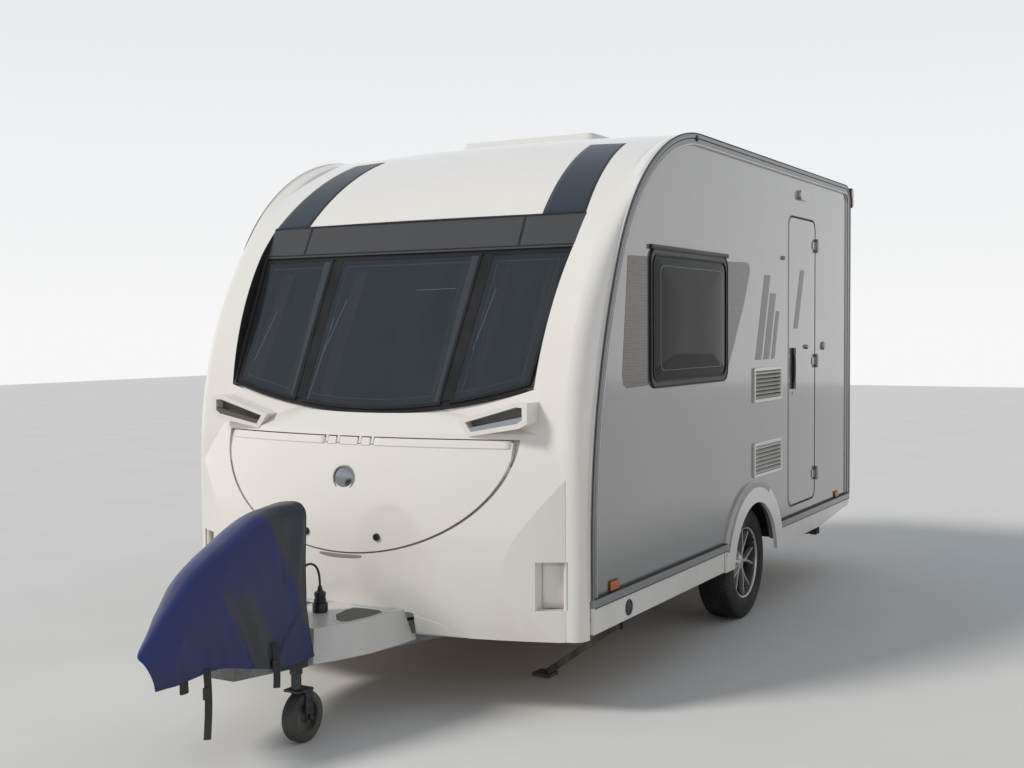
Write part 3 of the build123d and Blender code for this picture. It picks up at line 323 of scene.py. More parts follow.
class Finish:
    """A material under construction. Every node comes from add()."""

    def __init__(self, name, **constants):
        self.material = bpy.data.materials.new(name)
        self.material.use_nodes = True
        self.tree = self.material.node_tree
        self.shader = self.tree.nodes["Principled BSDF"]
        self.done(**constants)
        self.place = self.add("ShaderNodeTexCoord", output="Object")

    def add(self, kind, settings=None, values=None, output=0):
        node = self.tree.nodes.new(kind)
        for setting, value in (settings or {}).items():
            setattr(node, setting, value)
        self.fill(node, values or {})
        return Wire(self, node.outputs[output])

    def fill(self, node, values):
        """Link or set the named or numbered sockets of a node."""
        for socket, value in values.items():
            if isinstance(value, Wire):
                self.tree.links.new(value.socket, node.inputs[socket])
            else:
                node.inputs[socket].default_value = value

    def axis(self, name):
        return self.add("ShaderNodeSeparateXYZ", values={0: self.place}, output=name)

    def noise(self, scale, detail=2.0, stretch=None):
        """Soft noise from 0 to 1; stretch multiplies the coordinates first."""
        where = self.place
        if stretch:
            where = self.add("ShaderNodeVectorMath", {"operation": "MULTIPLY"}, {0: self.place, 1: stretch})
        return self.add("ShaderNodeTexNoise", values={"Vector": where, "Scale": scale, "Detail": detail})

    def mix(self, first, second, factor):
        """Colour from first to second as factor goes from 0 to 1."""
        return self.add("ShaderNodeMix", {"data_type": "RGBA"}, {0: factor, 6: first, 7: second}, output=2)

    def bump(self, height, distance):
        return self.add("ShaderNodeBump", values={"Height": height, "Distance": distance})

    def done(self, **values):
        """Set or link inputs of the shader, with _ for a space in their names, and give the material."""
        self.fill(self.shader, {socket.replace("_", " "): value for socket, value in values.items()})
        return self.material


def tone(red, green, blue):
    """Colour as a screen shows it, from 0 to 255, as the linear light that shaders take."""
    share = np.array([red, green, blue]) / 255
    linear = np.where(share > 0.04045, ((share + 0.055) / 1.055) ** 2.4, share / 12.92)
    return (*linear.tolist(), 1.0)


def shade(colour, factor):
    """The colour made lighter or darker, at most full white."""
    return (*[min(1.0, c * factor) for c in colour[:3]], 1.0)


# %% [markdown]
# ## Floor and light
# A wide pale floor keeps attention on the caravan. The sky is nearly white where the camera, glass and gloss
# see it, and weaker where it lights the object, so that white panels keep their shading. One large soft sun
# from the front left gives the same side of the nose its light as outdoors.

# %% Floor, sky and sun
FLOOR_HALF = 30.0
SKY_LIGHT = 0.62
SKY_COLOURS = ((0.0, (0.93, 0.93, 0.93, 1)), (0.75, (0.55, 0.62, 0.70, 1)))   # by the direction's height
SUN_LIGHT = 2.0
SUN_TURN, SUN_TILT = radians(-38), radians(48)

floor_finish = Finish("pale_floor", Roughness=0.75)
floor_tone = floor_finish.mix(tone(226, 224, 220), tone(216, 214, 210), floor_finish.noise(1.5, 4.0))
floor_mesh = bpy.data.meshes.new("floor_sheet")
floor_corners = corners(-FLOOR_HALF, FLOOR_HALF, -FLOOR_HALF, FLOOR_HALF)
floor_mesh.from_pydata(np.insert(floor_corners, 2, 0, axis=1).tolist(), [], [(0, 1, 2, 3)])
floor_mesh.materials.append(floor_finish.done(Base_Color=floor_tone))
floor_sheet = bpy.data.objects.new("floor_sheet", floor_mesh)
bpy.context.scene.collection.objects.link(floor_sheet)

world = bpy.data.worlds.new("studio")
world.use_nodes = True
bpy.context.scene.world = world
sky = world.node_tree
backdrop = sky.nodes["Background"]
place, split, ramp, rays, seen, seen_more, level = [sky.nodes.new("ShaderNode" + kind) for kind in (
    "TexCoord", "SeparateXYZ", "ValToRGB", "LightPath", "Math", "Math", "MapRange")]
for stop, (position, colour) in zip(ramp.color_ramp.elements, SKY_COLOURS):
    stop.position = position
    stop.color = colour
seen.operation = seen_more.operation = "MAXIMUM"
level.inputs["To Min"].default_value = SKY_LIGHT
level.inputs["To Max"].default_value = 1.0
for source, output, node, socket in (
        (place, "Generated", split, 0), (split, "Z", ramp, 0), (ramp, "Color", backdrop, "Color"),
        (rays, "Is Camera Ray", seen, 0), (rays, "Is Glossy Ray", seen, 1), (seen, 0, seen_more, 0),
        (rays, "Is Transmission Ray", seen_more, 1), (seen_more, 0, level, "Value"),
        (level, 0, backdrop, "Strength")):
    sky.links.new(source.outputs[output], node.inputs[socket])

sun_data = bpy.data.lights.new("sun", "SUN")
sun_data.energy = SUN_LIGHT
sun_data.angle = 0.25
sun_data.color = (1.0, 0.97, 0.92)
sun = bpy.data.objects.new("sun", sun_data)
sun.visible_glossy = False
sun.matrix_world = Matrix.Rotation(SUN_TURN, 4, "Z") @ Matrix.Rotation(SUN_TILT, 4, "X")
bpy.context.scene.collection.objects.link(sun)

# %% [markdown]
# ## Painted and moulded surfaces
# Gelcoat, paint and plastic differ mostly in colour, gloss and grain, so one function mixes them all: broad
# cloudy variation in the colour, fine variation in the gloss, a shallow grain in the surface and road dust
# that thins out above the skirts. Two finishes have a second colour in a place that a formula marks out: the
# nose's is painted shade on the walls beside the front panes, the rails' is the gelcoat that laps them.

# %% Coated surfaces
DUST = tone(168, 158, 142)
GELCOAT_TONE = tone(233, 228, 221)
RAIL_TONE = tone(134, 136, 138)
RECESS_HALF, RECESS_GAIN, BAND_HALF = 0.8018, 0.0765, 0.868     # half widths of the front panes' recess
RAIL_SPLIT = 1.051              # the moulding's edge laps the rails up to here


def coated(name, colour, rough=0.25, coat=0.0, metal=0.0, cloud=0.05, grain=700.0, depth=0.00005, dust=0.25,
           dust_top=0.7, part=None, part_colour=None):
    """Paint, gelcoat or plastic; part(finish) is 1 where the piece has its second colour."""
    finish = Finish(name, Metallic=metal, Coat_Weight=coat, Coat_Roughness=0.06)
    fine = finish.noise(grain, 2.0)
    streaks = finish.noise(9.0, 4.0, (1.0, 1.0, 0.25))
    soiled = (1 - finish.axis("Z").rise(0.12, dust_top)) * streaks.rise(0.3, 0.8) * dust
    broad = finish.mix(shade(colour, 1 - cloud), shade(colour, 1 + cloud / 2), finish.noise(2.2, 3.0))
    here = finish.mix(broad, DUST, soiled)
    if part:
        here = finish.mix(here, part_colour, part(finish))
    return finish.done(Base_Color=here, Roughness=rough + (fine - 0.5) * 0.08 + soiled * 0.3,
                       Normal=finish.bump(fine, depth))


# Painted shade: the gelcoat walls beside the front panes are drawn dark, as they stand in shade.
def recess_walls_painted_shade(finish):
    """1 on the two cut walls beside the front panes, where |x| = half + gain * up, up along the slope."""
    _, origin_y, origin_z = PANE_ORIGIN.tolist()
    _, up_y, up_z = PANE_UP.tolist()
    up = (finish.axis("Y") - origin_y) * up_y + (finish.axis("Z") - origin_z) * up_z
    half = up * RECESS_GAIN + RECESS_HALF
    off = (finish.axis("X").size() - half.math("MINIMUM", half, BAND_HALF)).size()
    return (1 - off.rise(0.002, 0.003)) * up.rise(0.168, 0.176) * (1 - up.rise(1.020, 1.028))


def rail_insides(finish):
    """1 on the inner half of both awning rails."""
    return 1 - finish.axis("X").size().rise(RAIL_SPLIT - 0.001, RAIL_SPLIT + 0.001)


gelcoat = coated("cream_gelcoat", GELCOAT_TONE, rough=0.16, coat=0.5, dust=0.2)
# the nose's gelcoat, with painted shade on the recess walls beside the front panes
nose_gelcoat_painted_shade = coated("nose_gelcoat_painted_shade", GELCOAT_TONE, rough=0.16, coat=0.5, dust=0.2, part=recess_walls_painted_shade,
                      part_colour=tone(46, 44, 43))
roof_skin = coated("roof_gelcoat", tone(231, 229, 224), rough=0.3, coat=0.2, dust=0.0)
silver_skin = coated("silver_wall_paint", tone(150, 149, 147), rough=0.12, coat=0.8, metal=0.35, dust=0.3)
satin_black = coated("satin_black_plastic", tone(22, 23, 25), rough=0.42, cloud=0.1, dust_top=0.5)
gloss_black = coated("gloss_black_film", tone(38, 44, 50), rough=0.12, coat=0.5, cloud=0.06, dust=0.0)
band_grey = coated("band_grey_film", tone(66, 65, 68), rough=0.32, coat=0.15, cloud=0.06, dust=0.0)
trim_grey = coated("grey_trim_strip", tone(150, 152, 154), rough=0.22, metal=0.5, dust=0.3)
rail_metal = coated("awning_rail_aluminium", RAIL_TONE, rough=0.28, metal=0.7, dust=0.1)
rail_body = coated("awning_rail_body", RAIL_TONE, rough=0.28, metal=0.45, dust=0.1, part=rail_insides,
                   part_colour=GELCOAT_TONE)
hatch_white = coated("rooflight_plastic", tone(226, 225, 220), rough=0.3, coat=0.2, dust=0.0)
fairing_skin = coated("fairing_plastic", tone(206, 204, 200), rough=0.32, coat=0.1, grain=1500.0,
                      depth=0.0001, dust=0.3, dust_top=0.6)
tread_grey = coated("fairing_tread_plastic", tone(72, 72, 70), rough=0.55, grain=900.0, depth=0.0004,
                    dust=0.35)
dark_paint = coated("dark_chassis_paint", tone(44, 44, 45), rough=0.5, cloud=0.2, grain=600.0, depth=0.0002,
                    dust=0.5, dust_top=0.5)
bright_metal = coated("bright_metal", tone(196, 198, 200), rough=0.14, metal=0.95, dust=0.0)
badge_chrome = coated("badge_chrome", tone(150, 154, 160), rough=0.2, metal=0.9, dust=0.0)
# painted shade: the grey that darkens the grips' recesses
well_painted_shade_grey = coated("grip_recess_painted_shade", tone(112, 109, 104), rough=0.5, dust=0.1)
# a seal's grey-brown that also paints the shade in the lid's gap and under the finger recess
seal_and_gap_shade_grey = coated("lid_seal_and_gap_shade", tone(150, 140, 128), rough=0.6, dust=0.0)
# also the colour of the painted highlights behind the front panes
line_silver = coated("pane_line_silver", tone(112, 116, 118), rough=0.35, metal=0.2, dust=0.0)
line_dim = coated("pane_line_dim", tone(64, 71, 78), rough=0.4, dust=0.0)
stripe_film = coated("slate_stripe_film", tone(30, 38, 46), rough=0.34, coat=0.05, cloud=0.1, dust=0.0)
bar_film = coated("grey_bar_film", tone(104, 98, 92), rough=0.3, coat=0.2, dust=0.0)
rim_face = coated("machined_rim_face", tone(196, 190, 180), rough=0.28, metal=0.7, dust=0.3, dust_top=0.5)
rim_pocket = coated("rim_pocket_paint", tone(60, 62, 66), rough=0.35, metal=0.3, dust=0.35, dust_top=0.6)
web_blue = coated("rim_web_paint", tone(138, 146, 158), rough=0.3, metal=0.5, dust=0.2, dust_top=0.5)
webbing = coated("black_webbing", tone(32, 33, 38), rough=0.6, grain=900.0, depth=0.0006, dust=0.15,
                 dust_top=0.4)
inset_blue = coated("fairing_inset_plastic", tone(186, 192, 200), rough=0.35, dust=0.2, dust_top=0.6)
plate_cream = coated("blank_plate_cream", tone(228, 222, 196), rough=0.4)


def grip_plastic_far_shade():
    """One finish for all front grips: silver on the near side, brown-grey painted shade on the far side, pale
    corners.
    """
    finish = Finish("grip_plastic_far_shade", Roughness=0.32)
    # painted shade: the far grip is drawn brown-grey, the near one keeps its silver
    upper = finish.mix(tone(92, 86, 80), tone(150, 157, 163), finish.axis("X").rise(-0.01, 0.01))
    return finish.done(Base_Color=finish.mix(tone(226, 221, 213), upper, finish.axis("Z").rise(0.70, 0.75)),
                       Normal=finish.bump(finish.noise(1500.0), 0.0001))


grip_grey = grip_plastic_far_shade()

# %% [markdown]
# ## Zinc, casting and board
# Hot-dip galvanising leaves a mosaic of large crystals, which Voronoi cells give. Castings are rough all
# over. The floor board is plywood, so its grain is noise that is stretched along one direction.

# %% Metals of the chassis and the floor board


def galvanised_steel(name, dark, pale):
    finish = Finish(name, Metallic=0.8)
    cells = finish.add("ShaderNodeTexVoronoi", {}, {"Vector": finish.place, "Scale": 90.0}, output="Color")
    spangle = finish.add("ShaderNodeSeparateColor", {}, {0: cells})
    stain = finish.noise(6.0, 5.0).rise(0.45, 0.8)
    colour = finish.mix(finish.mix(dark, pale, spangle), tone(120, 108, 92), stain * 0.45)
    return finish.done(Base_Color=colour, Roughness=0.38 + spangle * 0.16 + stain * 0.2,
                       Normal=finish.bump(spangle, 0.0001))


def rough_casting():
    finish = Finish("painted_casting", Metallic=0.2)
    pits = finish.noise(420.0, 3.0)
    colour = finish.mix(tone(52, 53, 55), tone(78, 79, 80), finish.noise(12.0, 4.0))
    return finish.done(Base_Color=colour, Roughness=0.55 + pits * 0.15, Normal=finish.bump(pits, 0.0006))


def plywood():
    finish = Finish("plywood_board", Roughness=0.6)
    grain = finish.noise(30.0, 6.0, (12.0, 0.6, 1.0))
    colour = finish.mix(tone(150, 118, 82), tone(186, 152, 110), grain)
    return finish.done(Base_Color=colour, Normal=finish.bump(grain, 0.0003))


zinc = galvanised_steel("galvanised_steel", tone(112, 115, 117), tone(144, 146, 147))
# the same zinc drawn darker: painted shade on the jockey parts, which stand in shade
zinc_painted_shade = galvanised_steel("galvanised_steel_painted_shade", tone(58, 59, 61), tone(84, 85, 87))
casting = rough_casting()
board = plywood()

# %% [markdown]
# ## Glass, lenses, rubber and cloth
# The panes are tinted acrylic: dark, very smooth, and thin enough that light curtains show behind them, so
# their alpha stays a little under 1. Lamp lenses have fine flutes. Rubber is dull, and paler where it is
# dusty. Woven cloth is two crossing sines.

# %% Panes, lenses, rubber and cloth


def tinted_pane(name, dark, pale, solid, gloss):
    """Acrylic that shows what is behind it by 1 - solid; gloss is the strength of its mirror image."""
    finish = Finish(name, IOR=1.49, Specular_IOR_Level=gloss)
    smear = finish.noise(5.0, 4.0, (1.0, 1.0, 0.4))
    return finish.done(Base_Color=finish.mix(dark, pale, smear), Roughness=0.03 + smear.rise(0.5, 0.9) * 0.08,
                       Alpha=solid + smear * 0.08)


def lens(name, colour, axis):
    """Lamp plastic with flutes across one axis."""
    finish = Finish(name, Roughness=0.12, IOR=1.5, Coat_Weight=0.6)
    flutes = finish.axis(axis).waves(0.004)
    return finish.done(Base_Color=finish.mix(shade(colour, 0.75), colour, flutes * 0.5 + 0.5),
                       Normal=finish.bump(flutes, 0.0004))


def rubber(name, colour, rough=0.7, wear=0.35):
    finish = Finish(name, Roughness=rough)
    specks = finish.noise(320.0, 3.0)
    patches = finish.noise(7.0, 4.0).rise(0.4, 0.8)
    dusty = finish.mix(colour, tone(118, 108, 94), patches * wear)
    return finish.done(Base_Color=dusty, Roughness=rough + specks * 0.15, Normal=finish.bump(specks, 0.0002))


def woven(name, colour, thread=0.0016):
    """Cloth: two crossing sines make the threads."""
    finish = Finish(name, Roughness=0.85)
    weave = finish.axis("X").waves(thread) * finish.axis("Z").waves(thread)
    return finish.done(Base_Color=finish.mix(shade(colour, 0.85), colour, weave * 0.5 + 0.5),
                       Normal=finish.bump(weave, 0.0002))


pane = tinted_pane("tinted_acrylic", tone(36, 43, 50), tone(54, 61, 68), 0.62, 0.5)
side_pane = tinted_pane("dark_side_acrylic", tone(12, 14, 16), tone(20, 22, 25), 0.93, 0.10)
orange_lens = lens("orange_lens", tone(222, 108, 34), "Y")
red_lens = lens("red_lens", tone(168, 28, 26), "X")
clear_lens = lens("clear_lens", tone(214, 212, 200), "Z")
tyre_rubber = rubber("tyre_rubber", tone(24, 24, 25), wear=0.2)
seal_rubber = rubber("seal_rubber", tone(15, 15, 17), rough=0.55, wear=0.06)
wheel_rubber = rubber("jockey_rubber", tone(58, 58, 58), wear=0.5)
cable_jacket = rubber("cable_jacket", tone(26, 26, 27), rough=0.45, wear=0.2)
taupe_cloth = woven("taupe_curtain_cloth", tone(236, 190, 160))

# %% [markdown]
# ## A finish for every node
# Each CAD node keeps its mesh and takes a finish from this table. Nodes that a later cell replaces have one
# too, in case that piece is taken out again.

# %% Finishes of the CAD nodes
NODES_OF = (
    (nose_gelcoat_painted_shade, "front_panel"), (roof_skin, "roof"), (pane, "front_window_panes"),
    (rail_body, "awning_rails"),
    (gelcoat, "rear_panel locker_lid arch_trims skirts rear_bumper wall_vents"),
    (silver_skin, "wall_left wall_right door_leaf door_hinges"), (side_pane, "side_window_panes"),
    (satin_black, "side_window_frames wheel_boxes door_handle coupling_handle handbrake_lever plug "
                  "plug_socket hitch_cover cover_straps rear_grips"),
    (seal_rubber, "front_window_frame"), (band_grey, "header_band"), (hatch_white, "rooflight"),
    (board, "floor locker_bulkhead"), (trim_grey, "sill_trims"), (grip_grey, "front_grips"),
    (zinc, "chassis_rails drawbar axle_beam trailing_arms"), (tyre_rubber, "tyre_left tyre_right"),
    (bright_metal, "rim_left rim_right"), (casting, "overrun_housing coupling"),
    # the jockey's zinc parts take the darker zinc, which is painted shade
    (zinc_painted_shade, "jockey_tube jockey_stem jockey_fork"), (wheel_rubber, "jockey_wheel"),
    (dark_paint, "steady_front_left steady_front_right steady_rear_left steady_rear_right steady_brackets"),
    (fairing_skin, "drawbar_fairing"), (cable_jacket, "cable"), (clear_lens, "awning_light"),
    (orange_lens, "marker_lamps"), (red_lens, "rear_lamps"),
)
node_finishes = {name: finish for finish, names in NODES_OF for name in names.split()}
for name, node in NODES.items():
    node.data.materials.clear()
    node.data.materials.append(node_finishes[name])
print("finished nodes", len(node_finishes))

# %% [markdown]
# ## The cable
# A seven-core cable comes out of a gland in the fairing, stands up in a small loop and goes down into the
# parked plug. Its line is a NURBS spline with the route's own points, which keeps every bend smooth. Order
# and end points are set after the points are there, or the spline would stay straight runs.

# %% Cable
CABLE_R = 0.005
cable_route = [(0.015, -2.712, 0.448), (0.015, -2.712, 0.485), (0.016, -2.709, 0.525), (0.018, -2.697, 0.570),
               (0.021, -2.675, 0.610), (0.024, -2.645, 0.638), (0.027, -2.608, 0.646), (0.029, -2.570, 0.628),
               (0.030, -2.550, 0.582), (0.030, -2.550, 0.542)]
cable_points = np.array(cable_route) + [0, AXLE_Y, 0]
cable_curve = bpy.data.curves.new("cable_line", "CURVE")
cable_curve.dimensions = "3D"
cable_curve.bevel_depth = CABLE_R
cable_curve.bevel_resolution = 4
cable_spline = cable_curve.splines.new("NURBS")
cable_spline.points.add(len(cable_points) - 1)
cable_spline.points.foreach_set("co", np.c_[cable_points, np.ones(len(cable_points))].ravel())
cable_spline.order_u = 3
cable_spline.use_endpoint_u = True
cable_spline.resolution_u = 12
cable_curve.materials.append(cable_jacket)
cable_line = bpy.data.objects.new("cable_line", cable_curve)
bpy.context.scene.collection.objects.link(cable_line)
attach(cable_line, "caravan")
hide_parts("cable")

# %% [markdown]
# ## Panes, curtains and the dark band
# The three front panes lie in one leaning plane. Two unit vectors, one up the plane and one out of it, turn
# flat outlines into 3-D points, so each outline is written once, with an inset. Two outlines of different
# inset and a lift make a ribbon, which is how the thin lines of a double pane and its rubber seals are drawn.

# %% Front panes, outlines, curtains and band
PANE_TOP = 0.842
PANE_EDGE = (0.791, 0.844)      # half width at the lower corner and at the top
PANE_LOW = (0.197, 0.067)       # height of the lower edge at its ends and in the middle
SPLIT = (0.396, 0.416)          # divider at the foot and at the top
SPLIT_HALF = 0.023
FIRST_FOOT, LAST_FOOT = 0.15, 0.18      # about where a pane's two upright edges end, to start from
BEHIND = -0.0019                # thin lines behind the panes, out of the plane
BAND_LOW, BAND_TOP = 0.866, 1.030
CURTAINS = ((-0.79, -0.70), (-0.53, -0.45), (-0.34, -0.26), (0.26, 0.34), (0.46, 0.52), (0.70, 0.77))
GLINT_WIDE = 0.0022
# across and up at the foot, across and up at the top of short painted highlights behind the panes
GLINTS = ((-0.735, 0.30, -0.690, 0.56), (-0.335, 0.34, -0.290, 0.62), (-0.345, 0.10, -0.335, 0.52),
          (0.470, 0.36, 0.510, 0.66), (0.090, 0.66, 0.300, 0.665), (0.600, 0.745, 0.700, 0.748))
# across from and to, up from and to, thickness of the band's marks
BAND_MARKS = ((-BAND_HALF, BAND_HALF, BAND_TOP - 0.010, BAND_TOP, 0.0012),
              (-BAND_HALF, BAND_HALF, BAND_LOW, BAND_LOW + 0.006, 0.0014),
              (-0.638, -0.626, BAND_LOW, BAND_TOP - 0.010, 0.0010),
              (0.564, 0.576, BAND_LOW, BAND_TOP - 0.010, 0.0010))


def on_plane(across, up, out=0.0):
    """Points of the window plane: across along X, up the slope, and out square to it."""
    across, up, out = np.broadcast_arrays(np.asarray(across, float), up, out)
    return (PANE_ORIGIN + across[..., None] * np.array([1.0, 0, 0]) + up[..., None] * PANE_UP
            + out[..., None] * PANE_OUT)


def plane_slab(outline, out, thick):
    """Flat plate on the window plane from its outline, across and up."""
    return prism(on_plane(*np.array(outline, float).T, out), thick * PANE_OUT)


def lower_edge(across, inset=0.0):
    """Height of the panes' lower edge: an arc through its two ends and its middle."""
    low, mid, half = PANE_LOW[0] + inset, PANE_LOW[1] + inset, PANE_EDGE[0]
    radius = (half ** 2 + (low - mid) ** 2) / (2 * (low - mid))
    return mid + radius - np.sqrt(radius ** 2 - np.asarray(across) ** 2)


def pane_outline(place, inset, count=24):
    """Closed outline, across and up, of the pane at place -1, 0 or 1, drawn in by inset."""
    step = np.linspace(0, 1, count, endpoint=False)
    top = PANE_TOP - inset
    inner = SPLIT_HALF + inset

    def divider_at(up):
        return between(*SPLIT, up / PANE_TOP)

    def first(up):
        return divider_at(up) + inner if place else inner - divider_at(up)

    def last(up):
        if not place:
            return divider_at(up) - inner
        return between(*PANE_EDGE, (up - PANE_LOW[0]) / (PANE_TOP - PANE_LOW[0])) - inset

    foot = lower_edge(np.array([first(FIRST_FOOT), last(LAST_FOOT)]), inset)
    first_foot, last_foot = first(foot[0]), last(foot[1])
    bottom = between(first_foot, last_foot, step)
    rising = between(lower_edge(last_foot, inset), top, step)
    falling = between(top, lower_edge(first_foot, inset), step)
    across = np.concatenate([bottom, last(rising), between(last(top), first(top), step), first(falling)])
    up = np.concatenate([lower_edge(bottom, inset), rising, np.full(count, top), falling])
    return (-across if place < 0 else across), up


def pane_ribbon(place, inset, width, thick):
    outer, inner = [on_plane(*pane_outline(place, edge), BEHIND) for edge in (inset, inset + width)]
    return ribbon(outer, inner, thick * PANE_OUT)


def curtain(span, low=0.14, high=0.80, depth=-0.06, folds=0.055, swing=0.014):
    """Hanging cloth behind the panes: its depth is a sine of the distance across, wider lower down."""
    u, v = share_grid(60, 18)
    x = between(*span, u)
    wave = swing * (1.3 - 0.5 * v) * np.sin(2 * pi * x / folds + 0.7 * np.sin(3 * v))
    return surface(on_plane(x, between(low, high, v), depth + wave))


def divider_wedge(side, low_wide=0.030, top_wide=0.052):
    """Dark inner frame on the far side of a divider, wider towards the top."""
    foot, top = side * SPLIT[0] - SPLIT_HALF, side * SPLIT[1] - SPLIT_HALF
    low, high = float(lower_edge(foot)) + 0.004, PANE_TOP - 0.003
    shape = [(foot - low_wide, low), (foot, low), (top, high), (top - top_wide, high)]
    return plane_slab(shape, BEHIND, 0.0010)


def glint(foot_x, foot_up, top_x, top_up):
    """Painted highlight: a thin line, its width across where it is steep and up where it is level."""
    wide, tall = (GLINT_WIDE, 0) if abs(top_x - foot_x) < 0.1 else (0, GLINT_WIDE)
    return plane_slab([(foot_x, foot_up), (foot_x + wide, foot_up - tall), (top_x + wide, top_up - tall),
                       (top_x, top_up)], BEHIND, 0.0005)


for name, inset, width, thick, finish, slot in (
        ("pane_inner_lines", 0.046, 0.0022, 0.0006, line_dim, "tinted_pane"),
        ("pane_dark_edges", 0.0005, 0.014, 0.0014, seal_rubber, "black_frame")):
    piece(name, [pane_ribbon(place, inset, width, thick) for place in (-1, 0, 1)], finish)
for k, span in enumerate(CURTAINS):
    cloth = piece("front_curtain_%d" % k, [curtain(span)], taupe_cloth, thickness=0.0015)
piece("pane_wedges", [divider_wedge(side) for side in PAIR], gloss_black)
# painted highlights: short bright lines behind the front panes
piece("pane_glints", [glint(*row) for row in GLINTS], line_silver)
piece("band_joints", [plane_slab(corners(*place), 0.0, thick) for *place, thick in BAND_MARKS], satin_black)

# %% [markdown]
# ## Stripes over the brow
# The nose above the band is an arc in side view. A stripe is a strip of that arc between two edges that lean
# towards each other, so each point takes its place across from the two edges and its height from the arc:
# y = centre y + R cos a and z = centre z + R sin a.

# %% Brow stripes
NOSE_ARC = (-0.648 + AXLE_Y, 1.065)     # centre of the arc, 25 mm higher at the middle of the nose
NOSE_ARC_R = 1.5
STRIPE_FOOT = (0.652, 0.866)            # inner and outer edge, from the middle
STRIPE_HEAD = (0.607, 0.794)
STRIPE_TURN = (radians(136.1), radians(109.5))
STRIPE_LIFT = 0.0006


def brow_stripe(side):
    u, v = share_grid(12, 48)
    inner, outer = [between(foot, head, v) for foot, head in zip(STRIPE_FOOT, STRIPE_HEAD)]
    x = between(inner, outer, u)
    centre = (NOSE_ARC[0], NOSE_ARC[1] + 0.025 * (1 - (x / 0.97) ** 2))
    return surface(np.dstack([side * x, arc(centre, NOSE_ARC_R + STRIPE_LIFT, between(*STRIPE_TURN, v))]))


piece("brow_stripes", [brow_stripe(side) for side in PAIR], stripe_film, thickness=0.0012)

# %% [markdown]
# ## Nose fittings
# Locks, a plain badge seat, the seal round the locker lid, whose grey-brown also paints the shade in the
# lid's gap, a grey lip that paints the shade of the finger recess, and grey plates that paint the shade in
# the grips' recesses. The bulge is a profile turned about an upright line, so a point on it needs only x and
# z.

# %% Nose fittings
BULGE_AXIS = 0.328 + AXLE_Y
BULGE_NOSE = -2.372 + AXLE_Y
BULGE_MIDDLE = 0.62
LID_FRONT = -2.370 + AXLE_Y
LOCK_X, LOCK_Z = 0.188, 0.731
BADGE_Z, BADGE_R = 0.969, 0.056
LID_HALF, LID_TOP, LID_DEPTH = 0.782, 1.150, 0.500
SEAL_INSET = 0.0045
NOTCH_XS, NOTCH_HALF = (-0.122, -0.058, 0.058, 0.122), 0.0068
BROW_RUNS = ((-0.748, -0.133), (-0.111, -0.069), (-0.047, 0.047), (0.069, 0.111), (0.133, 0.748))
WELL_PLATE_Y = -2.1875 + AXLE_Y
WELL = mm((552, 1219), (579, 1182), (799, 1222.5), (820.5, 1237), (820.5, 1285), (793, 1286.5))


def bulge_y(x, z, inset=0.0):
    """Y of the bulge: an arc of 1.84 above its middle and 1.40 below it, turned about an upright line."""
    radius = np.where(z > BULGE_MIDDLE, 1.84, 1.40)
    back = radius - np.sqrt(radius ** 2 - (z - BULGE_MIDDLE) ** 2)
    return BULGE_AXIS - np.sqrt((BULGE_AXIS - BULGE_NOSE - back - inset) ** 2 - x ** 2)


def lid_seal(count=160):
    """Soft lip in the gap below the lid, along the half ellipse x = a cos t, z = top - b sin t."""
    turn = np.linspace(0.30, pi - 0.30, count)
    x = (LID_HALF - SEAL_INSET) * np.cos(turn)
    z = LID_TOP - (LID_DEPTH - SEAL_INSET) * np.sin(turn)
    return carried(ring(0.0035, 8), np.stack([x, bulge_y(x, z, 0.011), z], -1), up=(0, -1, 0))


def nose_patch(x0, x1, low, high, inset, side=1, columns=24):
    """Part of the bulge's surface from low to high, which may be a formula of x, set back by inset."""
    u, v = share_grid(columns, 8)
    x = between(x0, x1, u)
    z = between(low, high(x) if callable(high) else high, v)
    return surface(np.dstack([side * x, bulge_y(x, z, inset), z]))


def arch_height(x):
    """Line of the notch over the drawbar, where the chin of the moulding ends."""
    return np.interp(x, [0.335, 0.470, 0.640], [0.421, 0.384, 0.300]) - 0.001


def corner_scoop(side):
    """Curved lining of the recess in a front corner: its depth rises as 3 t^2 - 2 t^3."""
    t, v = share_grid(20, 6)
    y = -2.1475 + AXLE_Y + 0.0365 * (3 * t ** 2 - 2 * t ** 3)
    return surface(np.dstack([side * (0.8690 + 0.085 * t), y, between(0.4565, 0.6535, v)]))


lock_shape = mm((0, -3), (12.5, -3), (15.5, -0.5), (15.5, 10), (0, 10))
piece("lid_locks", [lathe(lock_shape, (side * LOCK_X, LID_FRONT, LOCK_Z), axis=1, sides=40) for side in PAIR],
      satin_black, "locker_lid", bevel=0.0008)
key_slots = [corners(side * LOCK_X - 0.0012, side * LOCK_X + 0.0012, LOCK_Z - 0.006, LOCK_Z + 0.006)
             for side in PAIR]
piece("lid_lock_slots", [slab(key_slot, 1, LID_FRONT - 0.0032, -0.0003) for key_slot in key_slots],
      bright_metal, "locker_lid")

share = np.linspace(0, 1, 12)
badge_dome = np.stack([0.82 * BADGE_R * share, -0.010 * (1 - share ** 2)], -1)
badge_rim = np.array([(0.84, 0.001), (0.88, -0.003), (0.97, -0.003), (1, 0), (1, 0.02), (0, 0.02)])
badge_shape = np.concatenate([badge_dome, badge_rim * [BADGE_R, 1]])
badge_at = (0, float(bulge_y(0, BADGE_Z)) - 0.0035, BADGE_Z)
piece("plain_badge", [lathe(badge_shape, badge_at, axis=1, sides=64)], badge_chrome, "locker_lid",
      smooth=50)
